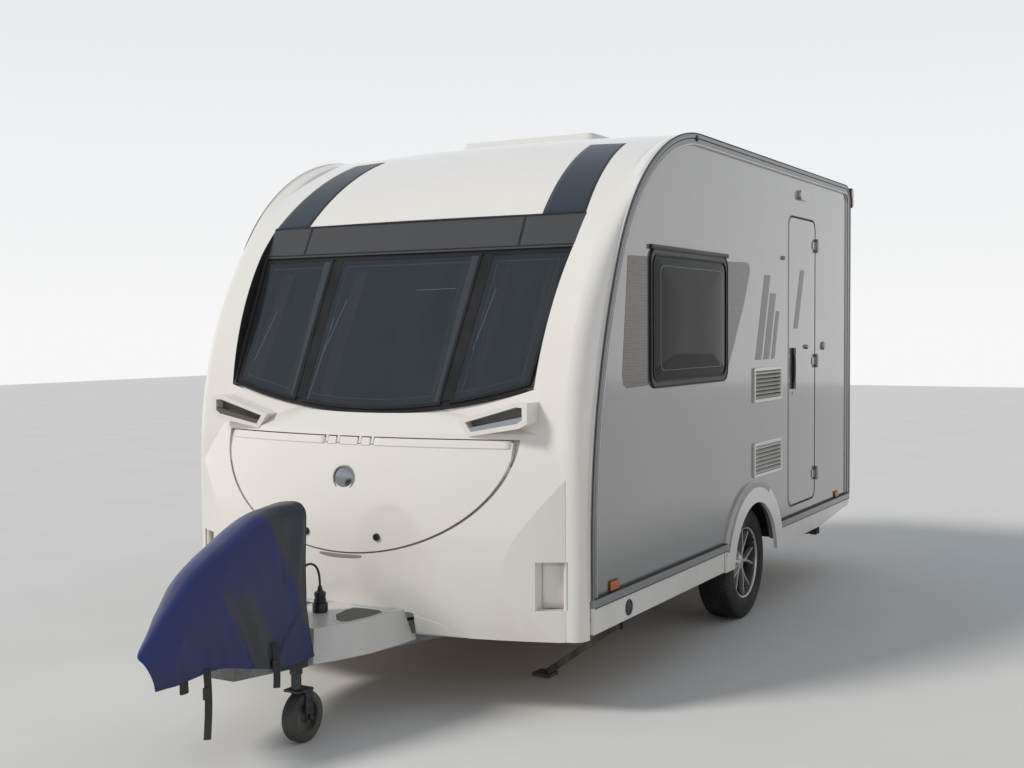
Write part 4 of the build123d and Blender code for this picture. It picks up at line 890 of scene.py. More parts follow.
# The seal is real, but its grey-brown is partly painted shade: it gives the gap's shaded groove.
piece("lid_seal_lip", [lid_seal()], seal_and_gap_shade_grey)
piece("lid_brow", [nose_patch(*run, 1.112, 1.1455, -0.0008) for run in BROW_RUNS], gelcoat,
      "locker_lid", thickness=0.002)
piece("lid_notch_caps", [nose_patch(x - NOTCH_HALF, x + NOTCH_HALF, 1.1185, 1.1495, 0.002, columns=4)
                         for x in NOTCH_XS], gelcoat, thickness=0.002)
piece("lid_corner_backs", [nose_patch(0.66, 0.80, 1.035, 1.158, 0.036, side) for side in PAIR], gelcoat,
      thickness=0.002)
piece("chin_aprons", [nose_patch(0.352, 0.587, 0.3265, arch_height, 0.002, side) for side in PAIR], gelcoat,
      thickness=0.003)
# Painted shade: grey plates in the grips' recesses stand for the shade in the gelcoat wells.
piece("grip_recess_shade_plates", [slab(WELL * [side, 1], 1, WELL_PLATE_Y, 0.0013) for side in PAIR], well_painted_shade_grey)
piece("corner_scoops", [corner_scoop(side) for side in PAIR], gelcoat, thickness=0.0012)

# Painted shade: a grey lip under the lid draws the shadow line of the finger recess.
lip_x = np.linspace(-0.12, 0.12, 24)
lip_z = LID_TOP - LID_DEPTH * np.sqrt(1 - (lip_x / LID_HALF) ** 2) - 0.012
lip_path = np.stack([lip_x, bulge_y(lip_x, lip_z, 0.001), lip_z], -1)
lip_size = np.sqrt(np.clip(1 - (lip_x / 0.121) ** 4, 0.02, 1))
piece("lid_finger_lip_shade", [carried(rounded(0.004, 0.018, 0.0018), lip_path, scale=lip_size)], seal_and_gap_shade_grey)

# %% [markdown]
# ## Film and bars on the walls
# The wall is flat, so its film and bars are thin plates. Printed fine lines are a sine of the height, broken
# up by a noise that is stretched along the wall.

# %% Side film and slanted bars
FILM_X, FILM_T = WALL_X + 0.0002, 0.0007
FILM_SHAPES = (mm((-1683, 1923), (-1745, 1410), (-1735, 1365), (-1700, 1347), (-1452, 1352), (-1452, 1929)),
               mm((-474, 1947), (-474, 1383), (-446, 1399), (-330, 1555), (-200, 1740), (-115, 1895),
                  (-112, 1930), (-135, 1952), (-180, 1956)))
# y and z of the foot, y and z of the head, width
WALL_BARS = ((-0.020, 1.43, 0.135, 1.90, 0.100), (0.115, 1.43, 0.235, 1.80, 0.100),
             (0.250, 1.43, 0.335, 1.70, 0.060))
DOOR_BAR = (0.662, 1.60, 0.792, 1.95, 0.083)


def printed_film():
    finish = Finish("taupe_printed_film", Roughness=0.25, Coat_Weight=0.15)
    lines = finish.axis("Z").waves(0.0125).rise(-0.2, 0.9)
    broken = finish.noise(14.0, 2.0, (1.0, 1.0, 9.0)).rise(0.35, 0.6)
    return finish.done(Base_Color=finish.mix(tone(100, 90, 83), tone(80, 71, 65), lines * broken),
                       Roughness=0.18 + lines * 0.06)


def slanted_bar(foot, low, head, high, wide):
    return side_plate([(foot, low), (foot + wide, low), (head + wide, high), (head, high)], FILM_X, FILM_T)


film = printed_film()
for side, label in NAMED_PAIR:
    piece("wall_film_" + label, [side_plate(shape, FILM_X, FILM_T, side) for shape in FILM_SHAPES], film)
piece("wall_bars", [slanted_bar(*row) for row in WALL_BARS], bar_film)
piece("door_bar", [slanted_bar(*DOOR_BAR)], bar_film, "door")

# %% [markdown]
# ## Side windows
# A window pane is a low dome: rings of its rounded outline shrink towards the middle while x rises as
# 1 - s^4, which gives steep edges and a calm centre that mirrors its surroundings like pressed acrylic.

# %% Side windows
LOUNGE = (-1.448, -0.478, 1.345, 1.960)         # y0, y1, z0 and z1
KITCHEN = (0.060, 0.900, 1.400, 1.960)
WINDOWS = ((LOUNGE, 1), (LOUNGE, -1), (KITCHEN, -1))
PANE_INSET, PANE_CORNER = 0.0285, 0.045
PANE_BACK, PANE_RIM, PANE_PEAK = WALL_X - 0.026, WALL_X + 0.0075, WALL_X + 0.0185
DOME_SHARES = (1, 1, 0.99, 0.97, 0.94, 0.9, 0.85, 0.78, 0.68, 0.55, 0.4, 0.25, 0.1)
SEALS = ((0.018, 0.009, 0.0125), (-0.008, 0.006, 0.0105))       # inset, width, outer face from the wall


def dome_rings(size, side, shares):
    """Rings of a bulged pane; share 1 is its edge and 0 its middle, and x rises as 1 - share^4."""
    middle = np.array([size[0] + size[1], size[2] + size[3]]) / 2
    share = np.array(shares)[:, None, None]
    flat = middle + share * (rounded_box(size, PANE_INSET, PANE_CORNER, 9) - middle)
    x = between(PANE_RIM, PANE_PEAK, 1 - share ** 4) + 0 * flat[..., :1]
    return np.dstack([side * x, flat + [AXLE_Y, 0]])


def bulged_pane(size, side):
    rings = dome_rings(size, side, DOME_SHARES)
    rings[0, :, 0] = side * PANE_BACK
    return capped(rings)


def dome_line(size, side):
    """Bright inner edge of a double pane, drawn as a narrow ribbon on the dome."""
    outer, inner = dome_rings(size, side, (0.860, 0.852))
    return ribbon(outer, inner, np.array([side * 0.0006, 0, 0]))


def window_seal(size, side, inset, width, face):
    outer = rounded_box(size, inset, PANE_CORNER + 0.012, 9)
    inner = rounded_box(size, inset + width, PANE_CORNER + 0.008, 9)
    return side_ribbon(outer, inner, WALL_X + 0.008, WALL_X + face, side)


def window_rails(size, side):
    """The hinge rail over a window and the narrow ridge on it."""
    y0, y1, _, top = size
    rail = corners(y0 - 0.006, y1 + 0.006, top + 0.003, top + 0.024)
    ridge = corners(y0 - 0.004, y1 + 0.004, top + 0.008, top + 0.012)
    return [side_plate(rail, WALL_X + 0.0005, 0.014, side), side_plate(ridge, WALL_X + 0.0145, 0.003, side)]


def wall_curtain(y0, y1, z0, z1, side, folds=0.05):
    """Curtain behind a side window: x is a sine of y."""
    y, z = np.meshgrid(np.linspace(y0, y1, 72), np.linspace(z0, z1, 16))
    x = side * (WALL_X - 0.085 + 0.012 * np.sin(2 * pi * y / folds + 1.5 * z))
    return surface(np.dstack([x, y + AXLE_Y, z]))


piece("side_panes", [bulged_pane(*window) for window in WINDOWS], side_pane,
      replaces=["side_window_panes"], smooth=50)
piece("side_pane_lines", [dome_line(*window) for window in WINDOWS], line_silver)
piece("side_window_seals", [window_seal(*window, *seal) for seal in SEALS for window in WINDOWS], seal_rubber,
      bevel=0.001)
piece("side_window_rails", [rail for window in WINDOWS for rail in window_rails(*window)], satin_black,
      bevel=0.002)
drape_count = 0
for (y0, y1, z0, z1), side in WINDOWS:
    for front, back in ((y0 - 0.03, y0 + 0.10), (y1 - 0.10, y1 + 0.03)):
        hanging = wall_curtain(front, back, z0 - 0.04, z1 + 0.03, side)
        drape = piece("side_curtain_%d" % drape_count, [hanging], taupe_cloth,
                      thickness=0.0015)
        drape_count += 1

# %% [markdown]
# ## Door, handle, catches and vents
# The seal and trims round the door are ribbons between two rounded outlines. The handle's grip is a rounded
# profile carried along a shallow bow and made thinner at both ends; discs and feet are turned or flat.

# %% Door, handle, catches and vents
DOOR = (0.572, 1.094, 0.552, 2.258)
# name, inset, width, corner, inner and outer face from the wall, finish, slot, bevel
DOOR_RIBBONS = (("door_frame_seal", 0.0002, 0.0026, 0.060, -0.022, -0.0015, seal_rubber, "black_frame", 0.0),
                ("door_frame_trim", -0.0135, 0.006, 0.073, 0.0, 0.0018, silver_skin, "shell_white", 0.0005),
                ("door_frame_line", -0.0070, 0.0066, 0.067, 0.0, 0.0012, seal_rubber, "black_frame", 0.0))
HANDLE_Y, HANDLE_Z = 0.650, 1.365
GRIP_HALF = 0.108
FEET = (-0.121, 0.083)          # lower ends of the handle's two feet, from its middle
VENTS = ((-0.050, 0.420, 0.788, 0.971), (-0.050, 0.420, 1.200, 1.383))


def wall_disc(y, z, radius, high):
    """Round boss on the wall, a little narrower at its top."""
    profile = [(0, high), (radius * 0.8, high), (radius, high * 0.6), (radius, -0.001), (0, -0.001)]
    return lathe(profile, (WALL_X, y + AXLE_Y, z), sides=32)


for name, inset, width, corner, low, high, finish, slot, bevel in DOOR_RIBBONS:
    outer, inner = rounded_box(DOOR, inset, corner, 9), rounded_box(DOOR, inset + width, corner - width, 9)
    piece(name, [side_ribbon(outer, inner, WALL_X + low, WALL_X + high)], finish, bevel=bevel)

grip = np.linspace(-1, 1, 40)
grip_path = np.stack([WALL_X + 0.0118 - 0.003 * grip ** 2, 0 * grip + HANDLE_Y + AXLE_Y,
                      HANDLE_Z + GRIP_HALF * grip], -1)
grip_size = np.sqrt(np.clip(1.06 - np.abs(grip) ** 5, 0.05, 1.1))
handle_parts = [carried(rounded(0.026, 0.013, 0.006), grip_path, up=(1, 0, 0), scale=grip_size)]
for foot in FEET:
    shape = corners(HANDLE_Y - 0.021, HANDLE_Y + 0.021, HANDLE_Z + foot, HANDLE_Z + foot + 0.038)
    handle_parts.append(side_plate(shape, WALL_X, 0.0145))
handle_parts.append(side_plate(rounded(0.052, 0.244, 0.020, 6) + [HANDLE_Y, HANDLE_Z], WALL_X, 0.003))
piece("door_handle_moulding", handle_parts, satin_black, "door", replaces=["door_handle"],
      bevel=0.003)
key_disc = lathe(mm((0, 4.2), (7.5, 4.2), (8.5, 3), (8.5, 1), (0, 1)),
                 (WALL_X, HANDLE_Y + AXLE_Y + 0.001, HANDLE_Z - 0.148), sides=32)
piece("door_key_disc", [key_disc], bright_metal, "door")
piece("door_peg", [wall_disc(0.907, 1.489, 0.014, 0.016)], trim_grey, "door", bevel=0.001)
piece("wall_catch", [wall_disc(1.269, 1.490, 0.026, 0.014), wall_disc(0.461, 2.008, 0.012, 0.014)], trim_grey,
      bevel=0.001)

vent_backs = [corners(y0 + 0.013, y1 - 0.013, z0 + 0.013, z1 - 0.013) for y0, y1, z0, z1 in VENTS]
piece("vent_backs", [side_plate(back, WALL_X - 0.020, 0.003) for back in vent_backs], satin_black)
vent_rims = [side_ribbon(rounded_box(vent, -0.003, 0.010), rounded_box(vent, 0.005, 0.004), WALL_X,
                         WALL_X + 0.0118) for vent in VENTS]
piece("vent_rims", vent_rims, gelcoat, bevel=0.002)

# %% [markdown]
# ## Lines that follow the roof edge
# The side wall's outline is two tangent arcs, a level run, a small corner and an upright edge. One function
# returns it at any distance outside the wall, and a small profile carried along it gives each line: rubber
# gaskets, metal beads and a thin bright line that is the rail's painted highlight.

# %% Awning rail lines, trims and side lamps
NOSE_Y, NOSE_Z = -2.066, 0.700  # where the upright front edge ends
LOW_ARC_R = 2.911
BROW_MEET = radians(154.88)     # where the lower arc meets the one over the brow
BROW_ARC, BROW_ARC_R = (-0.84, 1.49), 1.05
REAR_ARC, REAR_ARC_R = (1.755, 2.43), 0.11
RAIL_X = WALL_X + 0.012
# name, then distance outside the wall's edge, width and height of each line, finish, slot
RAIL_LINES = (("rail_gaskets", ((0.0055, 0.006, 0.0035), (-0.019, 0.0045, 0.0012)), seal_rubber,
               "black_frame"),
              ("rail_beads", ((-0.010, 0.012, 0.0048),), rail_metal, "rail_white"),
              # a thin bright line on the rail below its beads: the rail's painted highlight
              ("rail_highlight_lines", ((-0.046, 0.004, 0.0016),), bright_metal, "rail_white"))
# distance from the middle and height over the wall's edge, from the wall inwards
SHOULDER = ((1.0435, 0.005), (1.020, 0.002), (0.990, -0.006), (0.955, -0.016))
SILL_RUNS = ((-2.05, -0.50), (0.41, 1.85))
SILL_HEIGHTS = ((0.4515, 0.4555), (0.4905, 0.4935))
CAP_RING = mm((27, 0), (30, 4), (34, 4), (36, 1.5), (36, -4), (27, -4))
CAP_CENTRE = mm((0, 2), (22, 2), (26.8, 0.5), (26.8, -4), (0, -4))
ARCH = (-0.048, 0.285)          # centre of the wheel arch
LIGHT = (0.825, 2.396)
MARKERS = ((-1.885, -1.806, 0.497, 0.535), (1.540, 1.610, 0.497, 0.530))


def wall_outline(grow, low=0.490):
    """y and z along the wall's edge, moved out by grow, from the front trim over the roof to the rear."""
    front, top, rear = NOSE_Y - grow, BROW_ARC[1] + BROW_ARC_R + grow, REAR_ARC[0] + REAR_ARC_R + grow
    return np.concatenate([
        np.linspace((front, low), (front, NOSE_Z), 6)[:-1],
        arc((NOSE_Y + LOW_ARC_R, NOSE_Z), LOW_ARC_R + grow, np.linspace(pi, BROW_MEET, 40)),
        arc(BROW_ARC, BROW_ARC_R + grow, np.linspace(BROW_MEET, pi / 2, 40)[1:]),
        np.linspace((BROW_ARC[0], top), (REAR_ARC[0], top), 12)[1:-1],
        arc(REAR_ARC, REAR_ARC_R + grow, np.linspace(pi / 2, 0, 12)),
        np.linspace((rear, REAR_ARC[1]), (rear, low), 8)[1:]])


def edge_line(side, grow, wide, high):
    path = on_side(wall_outline(grow), RAIL_X, side)
    return carried(rounded(wide, high, min(wide, high) * 0.4, 3), path, up=(side, 0, 0))


def shoulder(side):
    """Strip over the wall's upper edge at the brow: y = cy + R cos a, z = cz + R sin a, R from the table."""
    turn = np.linspace(radians(137), radians(95), 40)
    columns = [on_side(arc(BROW_ARC, BROW_ARC_R + over, turn), x, side) for x, over in SHOULDER]
    return surface(np.stack(columns, axis=1))


for name, lines, finish, slot in RAIL_LINES:
    piece(name, [edge_line(side, *row) for row in lines for side in PAIR], finish)
piece("brow_shoulders", [shoulder(side) for side in PAIR], gelcoat, thickness=0.0012,
      smooth=70)
piece("rail_knobs", [wall_disc(-0.91, 2.520, 0.016, 0.019)], satin_black, bevel=0.001)

sill_lines, skirt_caps, cap_centres = [], [], []
for side in PAIR:
    sill_lines += [side_plate(corners(*run, *heights), WALL_X + 0.004, 0.0148, side)
                   for run in SILL_RUNS for heights in SILL_HEIGHTS]
    sill_lines.append(side_plate(corners(-0.535, -0.532, 0.35, 0.452), WALL_X + 0.010, 0.0047, side))
    cap_at = (side * (WALL_X + 0.014), -1.714 + AXLE_Y, 0.396)
    skirt_caps.append(lathe(CAP_RING * [1, side], cap_at, sides=40, closed=True))
    cap_centres.append(lathe(CAP_CENTRE * [1, side], cap_at, sides=40))
piece("sill_lines", sill_lines, seal_rubber)
piece("skirt_cap_rings", skirt_caps, satin_black)
piece("skirt_cap_centres", cap_centres, casting)

arch_turn = np.linspace(radians(160), radians(62), 48)
arch_shape = np.concatenate([arc(ARCH, 0.4795, arch_turn), arc(ARCH, 0.450, arch_turn)[::-1]])
piece("arch_edge_trim", [side_plate(arch_shape, WALL_X + 0.0195, 0.0009, side) for side in PAIR], trim_grey)
oval, oval_in = rounded(0.166, 0.058, 0.028, 10) + LIGHT, rounded(0.138, 0.034, 0.016, 10) + LIGHT
piece("awning_light_surround", [side_ribbon(oval, oval_in, WALL_X, WALL_X + 0.0195)], bright_metal,
      bevel=0.003)
marker_rims = [side_ribbon(rounded_box(lamp, -0.004, 0.004, 3), rounded_box(lamp, 0.0005, 0.002, 3), WALL_X,
                           WALL_X + 0.004, side) for lamp in MARKERS for side in PAIR]
piece("marker_rims", marker_rims, satin_black)

# %% [markdown]
# ## Tyres and wheels
# A tyre is a profile turned about the axle with its radius cut down wherever a groove runs. The grooves are
# masks over the angle and the distance across: straight bands around the tyre, and slanted bands where
# angle times blocks plus a shift has a small fractional part. All points are worked out in one go.

# %% Tyres
TYRE_R, RIM_R = 0.310, 0.196
WHEEL_X = 0.900
CROWN_HALF = 0.066
TREAD_BLOCKS = 64
GROOVE_DEPTH, CROSS_DEPTH = 0.006, 0.0045
GROOVES = (-0.036, -0.0125, 0.0125, 0.036)
TYRE_SHOULDER = mm((196, -83), (203, -88), (214, -93.5), (228, -95), (246, -94.5), (262, -93), (276, -91),
                   (286, -88.5), (294, -85), (301, -79), (306.5, -72))


def near(value, centre, half):
    """1 within half of the centre, falling to 0 over a third of half."""
    return np.clip((half * 1.33 - np.abs(value - centre)) / (half * 0.33), 0, 1)


def tyre_part(side):
    across = np.linspace(-CROWN_HALF, CROWN_HALF, 45)
    crown = np.stack([TYRE_R - 0.9 * across ** 2 * (across / CROWN_HALF) ** 2, across], -1)
    profile = np.concatenate([TYRE_SHOULDER, crown, TYRE_SHOULDER[::-1] * [1, -1]])
    angle = np.arange(TREAD_BLOCKS * 8) * 2 * pi / (TREAD_BLOCKS * 8)
    radius, x = profile[:, :1] + 0 * angle, profile[:, 1:] + 0 * angle
    block = angle * TREAD_BLOCKS / (2 * pi)
    ground = np.clip((radius - 0.296) / 0.006, 0, 1)
    grooves = np.clip(sum(near(x, place, 0.0035) for place in GROOVES), 0, 1)
    cross = near(np.mod(block + x * 22, 1), 0.5, 0.09) * (np.abs(x) > 0.0165)
    lines = 0.0008 * near(np.mod(block * 0.5, 1), 0.5, 0.2) * near(np.abs(x), 0.0945, 0.0012)
    radius = radius - ground * np.minimum(GROOVE_DEPTH * grooves + CROSS_DEPTH * cross, GROOVE_DEPTH)
    x = WHEEL_X + x + np.sign(x) * lines
    points = np.dstack([side * x, arc((AXLE_Y, TYRE_R), radius, angle)])
    return surface(points, wrap_rows=True, wrap_columns=True)


for side, label in NAMED_PAIR:
    piece("tyre_tread_" + label, [tyre_part(side)], tyre_rubber, "wheel_" + label,
          replaces=["tyre_" + label], smooth=30)

# %% [markdown]
# ## Rims
# Five pairs of thin arms spread towards the rim, with a sunken web between the arms of a pair. An arm is a
# profile carried along its own line; turning its points by 72 degrees gives the next one.

# %% Rims
FACE = 0.062                    # front of the hub, from the tyre's middle plane
FIFTH, FIRST_TURN = 2 * pi / 5, 0.06
STEP = np.linspace(0, 1, 14)    # share of the way from the hub to the rim
SPREAD = radians(14.5) * np.clip(STEP * 1.25, 0, 1) ** 0.85     # angle between an arm and its pair's middle
BOLT_CIRCLE = 0.046
ARM = mm((-5.2, 12), (5.2, 12), (7.5, -14), (-7.5, -14))
# radius and distance outwards, the hub's, cap's and bolts' from FACE
BARREL = mm((195.5, -82), (195.5, 80), (193.5, 82.8), (188.5, 80.5), (184.5, 70), (180, 60), (176, -60),
            (184, -80))
LIP = mm((195.8, 80.5), (193.5, 83.8), (186.5, 81.5), (184.5, 75), (190, 76))
DRUM = mm((0, -4), (112, -4), (120, -12), (120, -70), (0, -70))
HUB = mm((0, -4), (20, -4), (24, -1), (30, -2), (46, -12), (60, -24), (66, -40), (66, -112), (0, -112))
CAP = mm((0, 0), (21, -0.5), (23.5, -3), (23.5, -10), (0, -10))
BOLT = mm((0, -8), (6, -8), (7.5, -10), (7.5, -30), (0, -30))


def turned(part, angle):
    """Part turned about the wheel's own axis, which is X through 0, 0."""
    points, faces = part
    spin = np.array([[1, 0, 0], [0, cos(angle), -sin(angle)], [0, sin(angle), cos(angle)]])
    return points @ spin.T, faces


def to_wheel(parts, side):
    """From the wheel's own frame to its place; the right wheel is the mirror image of the left one."""
    return [(points * [side, 1, 1] + [side * WHEEL_X, AXLE_Y, TYRE_R], faces) for points, faces in parts]


def spoke_arm(lean):
    """One arm from the hub to the rim on one side of its pair, thin in front and deep behind."""
    path = np.c_[FACE - 0.014 + 0.010 * STEP, arc((0, 0), between(0.034, RIM_R - 0.012, STEP), lean * SPREAD)]
    return carried(ARM, path, up=(1, 0, 0), scale=1.1 - 0.25 * STEP)


def spoke_web():
    """Sunken plate between two arms."""
    radius = between(0.050, RIM_R - 0.018, STEP)[:, None]
    half = radius * np.tan(SPREAD[:, None]) - 0.0015
    u = np.linspace(-1, 1, 9)
    x = FACE - 0.030 + 0.008 * STEP[:, None] - 0.006 * (1 - u ** 2)
    return surface(np.dstack([x, radius + 0 * u, half * u]))


turns = [FIFTH * k + FIRST_TURN for k in range(5)]
barrel, lip = [lathe(profile, (0, 0, 0), sides=120, closed=True) for profile in (BARREL, LIP)]
arms = [turned(spoke_arm(lean), turn) for turn in turns for lean in PAIR]
bolt_places = [arc((0, 0), BOLT_CIRCLE, turn + FIFTH / 2) for turn in turns]
bolts = [lathe(BOLT, (FACE, *bolt_at), sides=6) for bolt_at in bolt_places]
# name, parts, finish, bevel, thickness
WHEEL_PIECES = (("barrel", [barrel, lathe(DRUM, (0, 0, 0), sides=64)], rim_pocket, 0.0, 0.0),
                ("lip", [lip], rim_face, 0.0, 0.0),
                ("arms", arms + [lathe(HUB, (FACE, 0, 0), sides=60)], rim_face, 0.0012, 0.0),
                ("webs", [turned(spoke_web(), turn) for turn in turns], web_blue, 0.0, 0.004),
                ("caps", [lathe(CAP, (FACE, 0, 0))] + bolts, bright_metal, 0.0, 0.0))
for side, label in NAMED_PAIR:
    for name, parts, finish, bevel, thickness in WHEEL_PIECES:
        piece("rim_%s_%s" % (name, label), to_wheel(parts, side), finish, "wheel_" + label,
              replaces=["rim_" + label] if name == "barrel" else [], bevel=bevel, thickness=thickness)
valve = carried(ring(0.004, 10), [(0.074, 0.172, 0.0), (0.090, 0.166, 0.0)])
piece("tyre_valves", to_wheel([turned(valve, FIFTH / 2 + FIRST_TURN)], 1), seal_rubber, "wheel_left")

# %% [markdown]
# ## Jockey wheel
# The small wheel is turned from half a profile and its mirror image: a solid rubber tyre on a dark hub. Two
# nuts hold its axle in the fork, so they ride on the fork.

# %% Jockey wheel
JOCKEY = (0.185, -2.865 + AXLE_Y, 0.100)
JOCKEY_TYRE = mm((62, -26), (70, -29.5), (86, -30), (95, -26), (99.5, -18), (100, -8))
JOCKEY_HUB = mm((9.8, -29), (22, -29), (24, -14), (56, -10), (61.8, -24))
JOCKEY_NUT = mm((0, 52), (11, 52), (11, 38.5), (0, 38.5))
piece("jockey_tyre", [lathe(mirrored(JOCKEY_TYRE), JOCKEY, sides=72, closed=True)], wheel_rubber,
      "jockey_wheel", replaces=["jockey_wheel"])
piece("jockey_hub", [lathe(mirrored(JOCKEY_HUB), JOCKEY, closed=True)], dark_paint,
      "jockey_wheel")
# the nuts take the same darker zinc, painted shade
piece("jockey_nuts", [lathe(JOCKEY_NUT * [1, side], JOCKEY, sides=6) for side in PAIR], zinc_painted_shade,
      "jockey_fork", bevel=0.001)

# %% [markdown]
# ## The coupling's cover
# The cover is a bag of coated cloth over the levers. Six places along it give its ridge and its two hems, and
# smooth curves run through them. Across, a parabola goes from a hem over a middle point to the ridge; pushing
# the middle point out rounds the cloth. Folds are narrow bell curves that follow slanting lines.

# %% Hitch cover
# x, y from the axle and z at six places from the front to the back
RIDGE = mm((50, -3589, 472), (65, -3458, 609), (80, -3321, 732), (92, -3142, 825), (105, -2934, 910),
           (118, -2742, 918))
NEAR_HEM = mm((118, -3574, 364), (155, -3443, 378), (185, -3313, 392), (210, -3165, 360), (228, -3023, 335),
              (246, -2865, 343))
FAR_HEM = mm((-16, -3420, 400), (-105, -3345, 378), (-170, -3260, 365), (-200, -3130, 355),
             (-222, -3000, 340), (-240, -2865, 335))
WAIST_PULL = np.array([0.026, -0.095, -0.070])
LID_HINGE, LID_SWEEP = (-2.289, 1.131), 0.498   # y from the axle and z, radius that the lid needs free
COVER_ROWS, HALF_COLUMNS = 181, 81
SOFT_REACH, RIDGE_REACH = 6, 20                 # columns that are averaged, and how far from the ridge
THREADS = 3900.0                                # of the weave, in radians a metre
# share along at the hem, its change up to the ridge, shares up where it starts and ends, width, depth
FOLDS = ((0.62, -0.20, -0.20, 0.80, 0.034, -0.008), (0.675, -0.17, -0.20, 0.70, 0.040, 0.008),
         (0.86, 0.12, 0.38, 1.05, 0.032, 0.012), (0.81, 0.10, 0.35, 1.00, 0.040, -0.009),
         (0.74, 0.60, -0.20, 0.50, 0.034, -0.007), (0.10, 0.16, -0.20, 0.75, 0.055, 0.010),
         (0.30, -0.08, -0.20, 0.90, 0.080, -0.006), (0.44, 0.10, 0.20, 1.05, 0.060, 0.006))


def smooth_line(values, where):
    """Curve through points at equal steps of where, 0 to 1: cubic pieces with averaged slopes."""
    slopes = np.gradient(values, axis=0)
    place = where * (len(values) - 1)
    k = np.clip(place.astype(int), 0, len(values) - 2)
    t = (place - k)[:, None]
    return ((2 * t ** 3 - 3 * t ** 2 + 1) * values[k] + (t ** 3 - 2 * t ** 2 + t) * slopes[k]
            + (3 * t ** 2 - 2 * t ** 3) * values[k + 1] + (t ** 3 - t ** 2) * slopes[k + 1])


def cover_side(hem, bulge_front, bulge_back, pull, depth):
    """One side of the cover: P = H (1 - s)(1 - 2s) + M 4s (1 - s) + R s (2s - 1), s from hem H to ridge R."""
    along = np.linspace(0, 1, COVER_ROWS)
    s = np.linspace(0, 1, HALF_COLUMNS)[None, :, None]
    ridge, foot = smooth_line(RIDGE, along), smooth_line(hem, along)
    t = along[:, None]
    middle = (ridge + foot) / 2 + np.array(bulge_front) * (1 - t) + np.array(bulge_back) * t + pull * t ** 5
    points = (foot[:, None] * (1 - s) * (1 - 2 * s) + middle[:, None] * 4 * s * (1 - s)
              + ridge[:, None] * s * (2 * s - 1))
    up = s[..., 0]
    relief = 0.0008 * np.sin(58 * t + 9 * up) + 0.0010 * np.sin(75 * t) * np.clip(1 - 3 * up, 0, 1)
    for foot_t, change, low, high, wide, deep in FOLDS:
        fade = np.clip((up - low) / 0.2, 0, 1) * np.clip((high - up) / 0.25, 0, 1)
        relief = relief + deep * fade * np.exp(-((t - foot_t - change * up) / wide) ** 2)
    points[..., 0] += depth * relief * np.clip((1 - up) * 8, 0, 1)
    return points


def cover_grid():
    """Columns from the near hem over the ridge to the far hem, kept out of the sweep of the locker lid."""
    near_side = cover_side(NEAR_HEM, (0.014, 0, 0.012), (0.030, 0, 0.040), WAIST_PULL, 1.0)
    far_side = cover_side(FAR_HEM, (-0.020, 0, 0.050), (-0.100, 0, 0.170), 0 * WAIST_PULL, -0.5)
    points = np.concatenate([near_side, far_side[:, -2::-1]], axis=1)
    columns = points.shape[1]
    wide = np.pad(points, ((0, 0), (SOFT_REACH, SOFT_REACH), (0, 0)), mode="edge")
    soft = sum(wide[:, k:k + columns] for k in range(2 * SOFT_REACH + 1)) / (2 * SOFT_REACH + 1)
    near_ridge = np.clip(1 - np.abs(np.arange(columns) - HALF_COLUMNS + 1) / RIDGE_REACH, 0, 1)[:, None]
    points = points + (soft - points) * near_ridge
    offset = points[..., 1:] - LID_HINGE
    reach = np.linalg.norm(offset, axis=-1, keepdims=True)
    points[..., 1:] += offset * np.clip(LID_SWEEP - reach, 0, None) / np.maximum(reach, 1e-6) + [AXLE_Y, 0]
    return points


def cover_cloth():
    """Navy coated cloth with charcoal panels behind two seams, creases and a faint weave."""
    finish = Finish("navy_coated_cloth", Coat_Weight=0.12, Coat_Roughness=0.2)
    y, z = finish.axis("Y"), finish.axis("Z")
    back_panel = (y + z * 0.12).rise(-2.054, -2.014) * z.rise(0.44, 0.50)
    leaning = y + z * 0.40
    tuck = leaning.rise(-2.190, -2.170) * (1 - leaning.rise(-2.090, -2.020)) * (1 - z.rise(0.56, 0.70))
    creases = finish.noise(14.0, 4.0, (1.0, 1.0, 0.4))
    weave = (y * THREADS).sine() * (z * THREADS).sine()
    colour = finish.mix(tone(14, 27, 84), tone(42, 46, 52), back_panel + tuck * (1 - back_panel))
    return finish.done(Base_Color=colour, Roughness=0.34 + creases * 0.14,
                       Normal=finish.bump(creases + weave * 0.02, 0.0025))


navy = cover_cloth()
cover_points = cover_grid()
cover_piece = piece("hitch_cover_cloth", [surface(cover_points)], navy,
                    replaces=["hitch_cover"], thickness=0.0018, smooth=70)
hem_parts = [carried(rounded(0.004, 0.012, 0.0018, 3), cover_points[:, column] + [0, 0, 0.004])
             for column in (0, -1)]
hem_parts.append(carried(ring(0.0022, 8), cover_points[-1, 2:-2], up=(0, 1, 0.3)))
hem_piece = piece("hitch_cover_hem", hem_parts, navy)

# %% [markdown]
# ## Straps and buckles
# Three straps of webbing hang from the cover's near side. Each sways a little on its way down, as a sine of
# the height, and carries a plastic buckle of two plates.

# %% Straps and buckles
# y from the axle, x, height of the lower and of the upper end
STRAPS = ((-3.468, 0.150, 0.336, 0.384), (-3.375, 0.170, 0.147, 0.400), (-3.075, 0.232, 0.268, 0.440))
